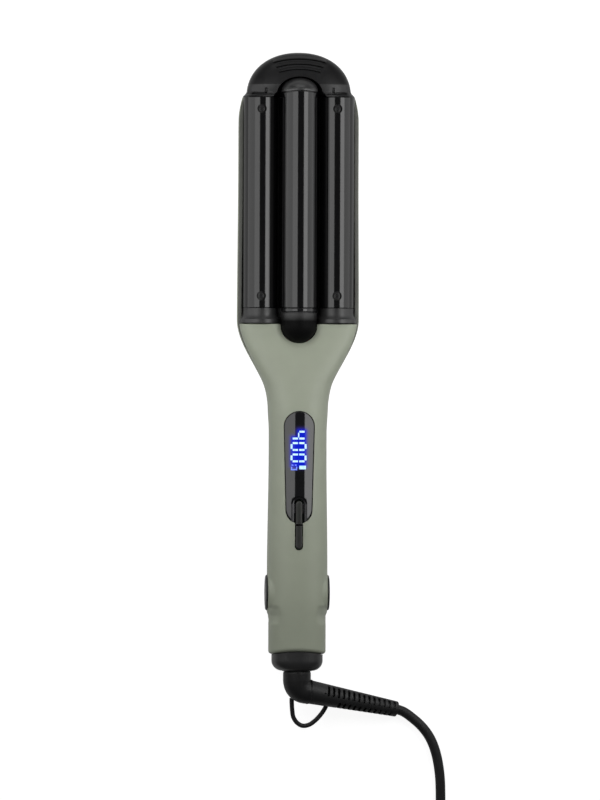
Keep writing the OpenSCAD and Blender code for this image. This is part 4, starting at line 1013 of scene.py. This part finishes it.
class WAVER_OT_barrels(bpy.types.Operator):
    """Side barrels with their screws, middle barrel with its domed end, neck and bracket"""
    bl_idname = "waver.barrels"
    bl_label = "Barrels"

    def execute(self, context):
        coat = barrel_finish()
        r, hole = sizes().barrel / MM / 2, sizes().screw / MM / 2
        # more rings near both ends, where the holes are
        along = (0.35, 0.45, 3.2, 5.0, 6.4, 8.0, 9.8, 25, 45, 55, 65, 85, 101.7, 103.5, 105.1, 106.7, 108.3, 111.05,
                 111.15)
        outside = [(r - 0.35, 0), (r - 0.1, 0.1)] + [(r, h) for h in along]
        outside += [(r - 0.1, BARREL_LEN - 0.1), (r - 0.35, BARREL_LEN), (r - BARREL_WALL, BARREL_LEN),
                    (r - BARREL_WALL, 0)]
        for name, side in zip(("left", "right"), SIDES):
            holes = [turned([(hole, 3), (hole, 12)], (side * SIDE_X, y, SIDE_Z), Z_AXIS, 64) for y in SCREW_Y]
            dress(name + "_side", [turned(outside, (side * SIDE_X, BARREL_Y, SIDE_Z), Y_AXIS, 192, True)],
                  "rear_arm", [name + "_barrel"], coat, 30, cutters=holes)
        self.screws(black_finish("screw head", 0.35, 0.4))
        r = sizes().middle / MM / 2
        length = MIDDLE_END - BARREL_Y
        profile = [(r - 0.3, 0.1), (r, 0.35), (r, 0.45)] + [(r, h) for h in np.linspace(5, length - 5, 12)]
        profile += [(r, length - 0.85), (r, length - 0.75), (r - 0.25, length - 0.5),
                    (r - BARREL_WALL, length - 0.45), (r - BARREL_WALL, 0.1)]
        middle = self.lifted(turned(profile, (0, BARREL_Y, MIDDLE_Z), Y_AXIS, 192, True))
        dress("middle_tube", [middle], "front_arm", ["centre_barrel"], coat, 30)
        t = np.linspace(0, QUARTER, 40)
        dome = np.concatenate([[(8, -7), (8, -1.0), (r - 1.0, -0.9), (r - 1.0, -0.1)],
                               corner(r - 0.25, 0.0, r - 0.1, 0.25, 4, "r"),
                               np.stack([(r - 0.1) * np.cos(t), 0.3 + 7.2 * np.sin(t)], -1)[1:-1], [(0.02, 7.5)]])
        dome = self.lifted(turned(dome, (0, MIDDLE_END + 0.02, MIDDLE_Z), Y_AXIS, 160))
        dress("middle_dome", [dome], "front_arm", ["centre_cap"],
              black_finish("dome plastic", 0.4, 0.9), 40)
        self.neck(r - 0.25)
        self.bracket()
        return {"FINISHED"}

    def lifted(self, parts):
        """The end of the middle barrel reaches further at its upper side: y grows with the fourth power of the
        height there, and less towards the dome's top."""
        co, quads, tris = parts
        high = np.clip((co[:, 2] - MIDDLE_Z) / 9.65, 0, 1) ** 4
        co[:, 1] += 0.9 * high * (co[:, 1] > MIDDLE_END - 4) * (1 - ease((co[:, 1] - MIDDLE_END) / 6))
        return co, quads, tris

    def screws(self, finish):
        """Cheese heads with a cross recess, low in the barrel's holes."""
        parts, cuts = [], []
        top = SIDE_Z + 7.8
        head = [(0.01, -5), (1.2, -5), (1.2, -3.2), (2.3, -3.2), (2.3, -2.6), (1.45, -2.4), (1.45, 1.1), (1.35, 1.3),
                (1.1, 1.4), (0.95, 1.25), (0.01, 1.2)]
        for x, y in [(side * SIDE_X, y) for side in SIDES for y in SCREW_Y]:
            parts.append(turned(head, (x, y, top), Z_AXIS, 64))
            cuts += [slab(x - i, x + i, y - j, y + j, top + 0.4, top + 3) for i, j in ((0.8, 0.2), (0.2, 0.8))]
        dress("screws", parts, "rear_arm", ["barrel_screws"], finish, 30, cutters=cuts)

    def neck(self, r):
        """The neck ends in a half ball, and a polished collar lies between it and the middle barrel."""
        long = BARREL_Y - NECK_Y
        profile = np.concatenate([corner(0.01, -r, r, 0, 40, "r"),
                                  [(r, long - 2.6), (r - 0.15, long - 2.4), (r - 0.7, long - 2.35), (7.9, long - 2.35),
                                   (7.9, long + 7), (0.01, long + 7)]])
        dress("neck", [turned(profile, (0, NECK_Y, MIDDLE_Z), Y_AXIS, 160)], "front_arm", ["barrel_neck"],
              neck_finish(), 40, cutters=[slab(-40, 40, NECK_Y - 20, NECK_Y + 0.8, -10, FRONT_Z + 0.1)])
        collar = [(7.95, -2.0), (r - 0.35, -2.0), (r - 0.1, -1.85), (r - 0.02, -1.6), (r - 0.02, -0.4), (r - 0.2, -0.1),
                  (7.95, -0.1)]
        dress("neck_collar", [turned(collar, (0, BARREL_Y, MIDDLE_Z), Y_AXIS, 160, True)], "front_arm", [],
              gloss_finish(), 40)

    def bracket(self):
        """Collars about the side barrels' axes that flare by a parabola to a flange at the shell, over a base plate."""
        deep, radius = 7.85, 9.35
        h, t = np.linspace(0, 1, 40), full_turn(160)
        flare = np.clip(1 - np.clip(deep * h - 2.1, 0, None) / 3.4, 0, 1) ** 2
        wide, tall = radius + 1.45 * flare, radius + 0.8 * flare
        wide[0] -= 0.2
        tall[0] -= 0.2
        y = np.broadcast_to((BARREL_Y - 0.15 - deep * (1 - h))[:, None], (40, 160))
        parts = []
        for x in (-SIDE_X, SIDE_X):
            parts.append(skin(np.stack([x + wide[:, None] * np.cos(t), y, SIDE_Z + tall[:, None] * np.sin(t)], -1)))
            parts.append(turned([(PEG_R, 0), (PEG_R, 11)], (x, BARREL_Y - 0.5, SIDE_Z), Y_AXIS, 64))
        parts.append(slab(-21, 21, BARREL_Y - 7.9, BARREL_Y - 0.2, 3.4, 11.2))
        dress("barrel_bracket", parts, "rear_arm", ["rear_bracket"], bracket_finish(), 40)


class WAVER_OT_tip(bpy.types.Operator):
    """Cool tip with grip ridges, side slots and the scoop for the middle barrel's dome"""
    bl_idname = "waver.tip"
    bl_label = "Cool tip"

    def execute(self, context):
        crease = (CREASE_Y - TIP_Y) / TIP_LEN
        q = [np.linspace(*span) for span in ((0, 0.16, 34), (0.165, crease, 12), (crease + 0.002, 0.5, 12),
                                             (0.503, 0.9, 90))] + [0.9 + 0.1 * np.sin(np.linspace(0, QUARTER, 30))[1:]]
        q = np.clip(np.concatenate(q), 0, 0.9995)[:, None]
        s, v = ((1 - q ** power) ** (1 / power) for power in (2.15, 2.8))
        shoulder = 2.0 * np.clip(1 - q * TIP_LEN / 2.6, 0, None) ** 1.5
        a = full_turn(480)
        a = a + 0.11 * np.sin(2 * a)
        x = (TIP_HALF * s + shoulder) * bent(np.cos(a), 2 / 3)
        z = np.maximum(0, TIP_MID + (TIP_MID * v + 0.3) * bent(np.sin(a), 2 / 3))
        y = TIP_Y + TIP_LEN * q + 0 * x
        z = z + ease((z - 15) / 3.5) * self.relief(x, y)
        pegs = [turned([(PEG_R, -11), (PEG_R, 1)], (side * SIDE_X, TIP_Y, SIDE_Z), Y_AXIS, 64) for side in SIDES]
        h = np.linspace(0, QUARTER, 32)
        scoop = np.concatenate([[(0.01, -20), (15.2, -20), (15.2, -3), (14.2, -1.8)],
                                np.stack([12.05 * np.cos(h), 8.7 * np.sin(h)], -1)[2:-1], [(0.02, 8.7)]])
        scoop = turned(scoop, (0, MIDDLE_END - 0.4, MIDDLE_Z), Y_AXIS, 160)
        dress("tip", [skin(np.stack([x, y, z], -1))] + pegs, "rear_arm", ["cool_tip"], tip_finish(),
              44, cutters=[scoop])
        return {"FINISHED"}

    def relief(self, x, y):
        """Change of height on the tip's upper side: a valley with one gentle and one steep wall in front of the
        barrels, a deeper slot in it at each side, and three arcs whose front falls steeply."""
        x = np.abs(x)

        def between(v, low, high, soft_low, soft_high):
            return ease((v - low) / soft_low) * ease((high - v) / soft_high)

        valley = -1.25 * np.clip((CREASE_Y - y) / 3.6, 0, 1) * ease((y - 262.7) / 0.5)
        slot = -1.3 * between(y, 262.9, 264.0, 0.25, 0.25) * between(x, 17.2, 25.4, 0.3, 1.2)
        notch = -1.0 * between(y, 263.5, 266.2, 0.25, 0.3) * between(x, 17.2, 18.3, 0.2, 0.2)
        height = sizes().ridge / MM
        ridges = 0
        for line, reach, bend in ((281.8, 14.2, 50), (279.1, 12.6, 44), (276.4, 11.2, 36)):
            d = y - line + bend - np.sqrt(bend ** 2 - np.clip(x, 0, 27) ** 2)
            rise = np.where(d < 0, -0.8 * ease((d + 0.65) / 0.4), 1 - ease(d / 1.7))
            ridges = ridges + height * rise * ease((reach - x) / 0.5)
        return valley + slot + notch + ridges


# ---------- display and key ----------

def window_height(x, y):
    """The window's face, just below the tops of the numerals: round along its middle and straight at its sides."""
    x = np.abs(np.asarray(x, float))
    knee = LENS_BEND * math.sin(LENS_LEAN)
    bow = LENS_BEND - np.sqrt(LENS_BEND ** 2 - np.minimum(x, knee) ** 2)
    return LENS_TOP - 0.17 - bow - np.maximum(x - knee, 0) * math.tan(LENS_LEAN)


class WAVER_OT_display(bpy.types.Operator):
    """Display window with lit numerals, and the rocker key"""
    bl_idname = "waver.display"
    bl_label = "Display and key"

    def execute(self, context):
        face = pad(*WINDOW, 27.0, window_height, 0.45, 22)
        ledge = [key_outline(4.3, d) for d in np.linspace(0, 1.2, 13)] + [key_outline(1)]
        ledge = [np.column_stack([xy, window_height(xy[:, 0], xy[:, 1]) - 0.7 * ease(k / 10)])
                 for k, xy in enumerate(ledge)]
        recess = skin([np.column_stack([ledge[0][:, :2], np.full(128, THROUGH[1])])] + ledge)
        dress("window", [face], "front_arm", ["display_lens"], window_finish(), 30,
              cutters=[recess, prism(key_outline(2.5))])
        paint_node("display_digits", numeral_finish())
        key = pad(KEY_Y - 11.0, 1.72, KEY_Y + 11.0, 1.72, 26.6, lambda x, y: 31.0 - 0.07 * x ** 2, 0.55, 14)
        notch = skin([np.array([[x, KEY_Y - 0.55, 31.2], [x, KEY_Y + 0.55, 31.2], [x, KEY_Y, 28.6]]) for x in (-5, 5)])
        bore = turned([(0.86, -5), (0.86, 5)], (0, KEY_Y, 25.4), X_AXIS, 48)
        finish = moulded("key black", (0.017, 0.018, 0.0155), 0.42, 0.04, 0.1, 2500, 0.00001, 0.15, 0.4).material
        dress("rocker", [key, slab(-1.55, 1.55, KEY_Y - 2.2, KEY_Y + 2.2, 23.6, 27)], "key", ["rocker_key"],
              finish, 40, cutters=[notch, bore])
        return {"FINISHED"}


class WAVER_OT_inside(bpy.types.Operator):
    """Finishes of the pieces inside, which keep their CAD shapes"""
    bl_idname = "waver.inside"
    bl_label = "Inside"

    def execute(self, context):
        finishes = {
            "black": black_finish("cover plastic", 0.5),
            "gloss": gloss_finish(),
            "steel": steel_finish(),
            "ceramic": moulded("ceramic", (0.78, 0.76, 0.72), 0.6, 0.06, 0.05, 1800, 0.00004, 0.4, 0.4).material,
            "lead": moulded("lead", (0.33, 0.03, 0.02), 0.4, 0.05, 0.12, 2500, 0.00002, 0.2, 0.5).material,
            "board": moulded("board", (0.015, 0.11, 0.04), 0.35, 0.08, 0.2, 1500, 0.00002, 0.3, 0.5).material,
            "brass": moulded("brass", (0.72, 0.52, 0.24), 0.28, 0.06, 0.08, 2000, 0.00001, 0.2, 0.5, 1.0).material,
            "ivory": moulded("ivory plastic", (0.68, 0.66, 0.58), 0.5, 0.05, 0.04, 2500, 0.00002, 0.3, 0.4).material,
        }
        for node, key in INSIDE.items():
            paint_node(node, finishes[key])
        return {"FINISHED"}


class WAVER_PT_panel(bpy.types.Panel):
    """Lists the waver's sizes, colours and operators"""
    bl_idname = "WAVER_PT_panel"
    bl_label = "Hair waver"
    bl_space_type = "VIEW_3D"
    bl_region_type = "UI"
    bl_category = "Waver"

    def draw(self, context):
        for group in (context.scene.waver_sizes, context.scene.waver_colours):
            for key in group.__annotations__:
                self.layout.prop(group, key)
        for operator in MAKERS:
            self.layout.operator(operator.bl_idname)


# ---------- registration ----------

MAKERS = (
    WAVER_OT_stage, WAVER_OT_cord, WAVER_OT_relief, WAVER_OT_front_shell, WAVER_OT_rear_shell, WAVER_OT_tail,
    WAVER_OT_caps, WAVER_OT_barrels, WAVER_OT_tip, WAVER_OT_display, WAVER_OT_inside,
)
CLASSES = (WaverSizes, WaverColours) + MAKERS + (WAVER_PT_panel,)


def register():
    for cls in CLASSES:
        bpy.utils.register_class(cls)
    bpy.types.Scene.waver_sizes = PointerProperty(type=WaverSizes)
    bpy.types.Scene.waver_colours = PointerProperty(type=WaverColours)


def unregister():
    del bpy.types.Scene.waver_colours
    del bpy.types.Scene.waver_sizes
    for cls in reversed(CLASSES):
        bpy.utils.unregister_class(cls)


def main():
    """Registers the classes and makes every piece."""
    register()
    for operator in MAKERS:
        getattr(bpy.ops.waver, operator.bl_idname.split(".")[1])()


if __name__ == "__main__":
    main()
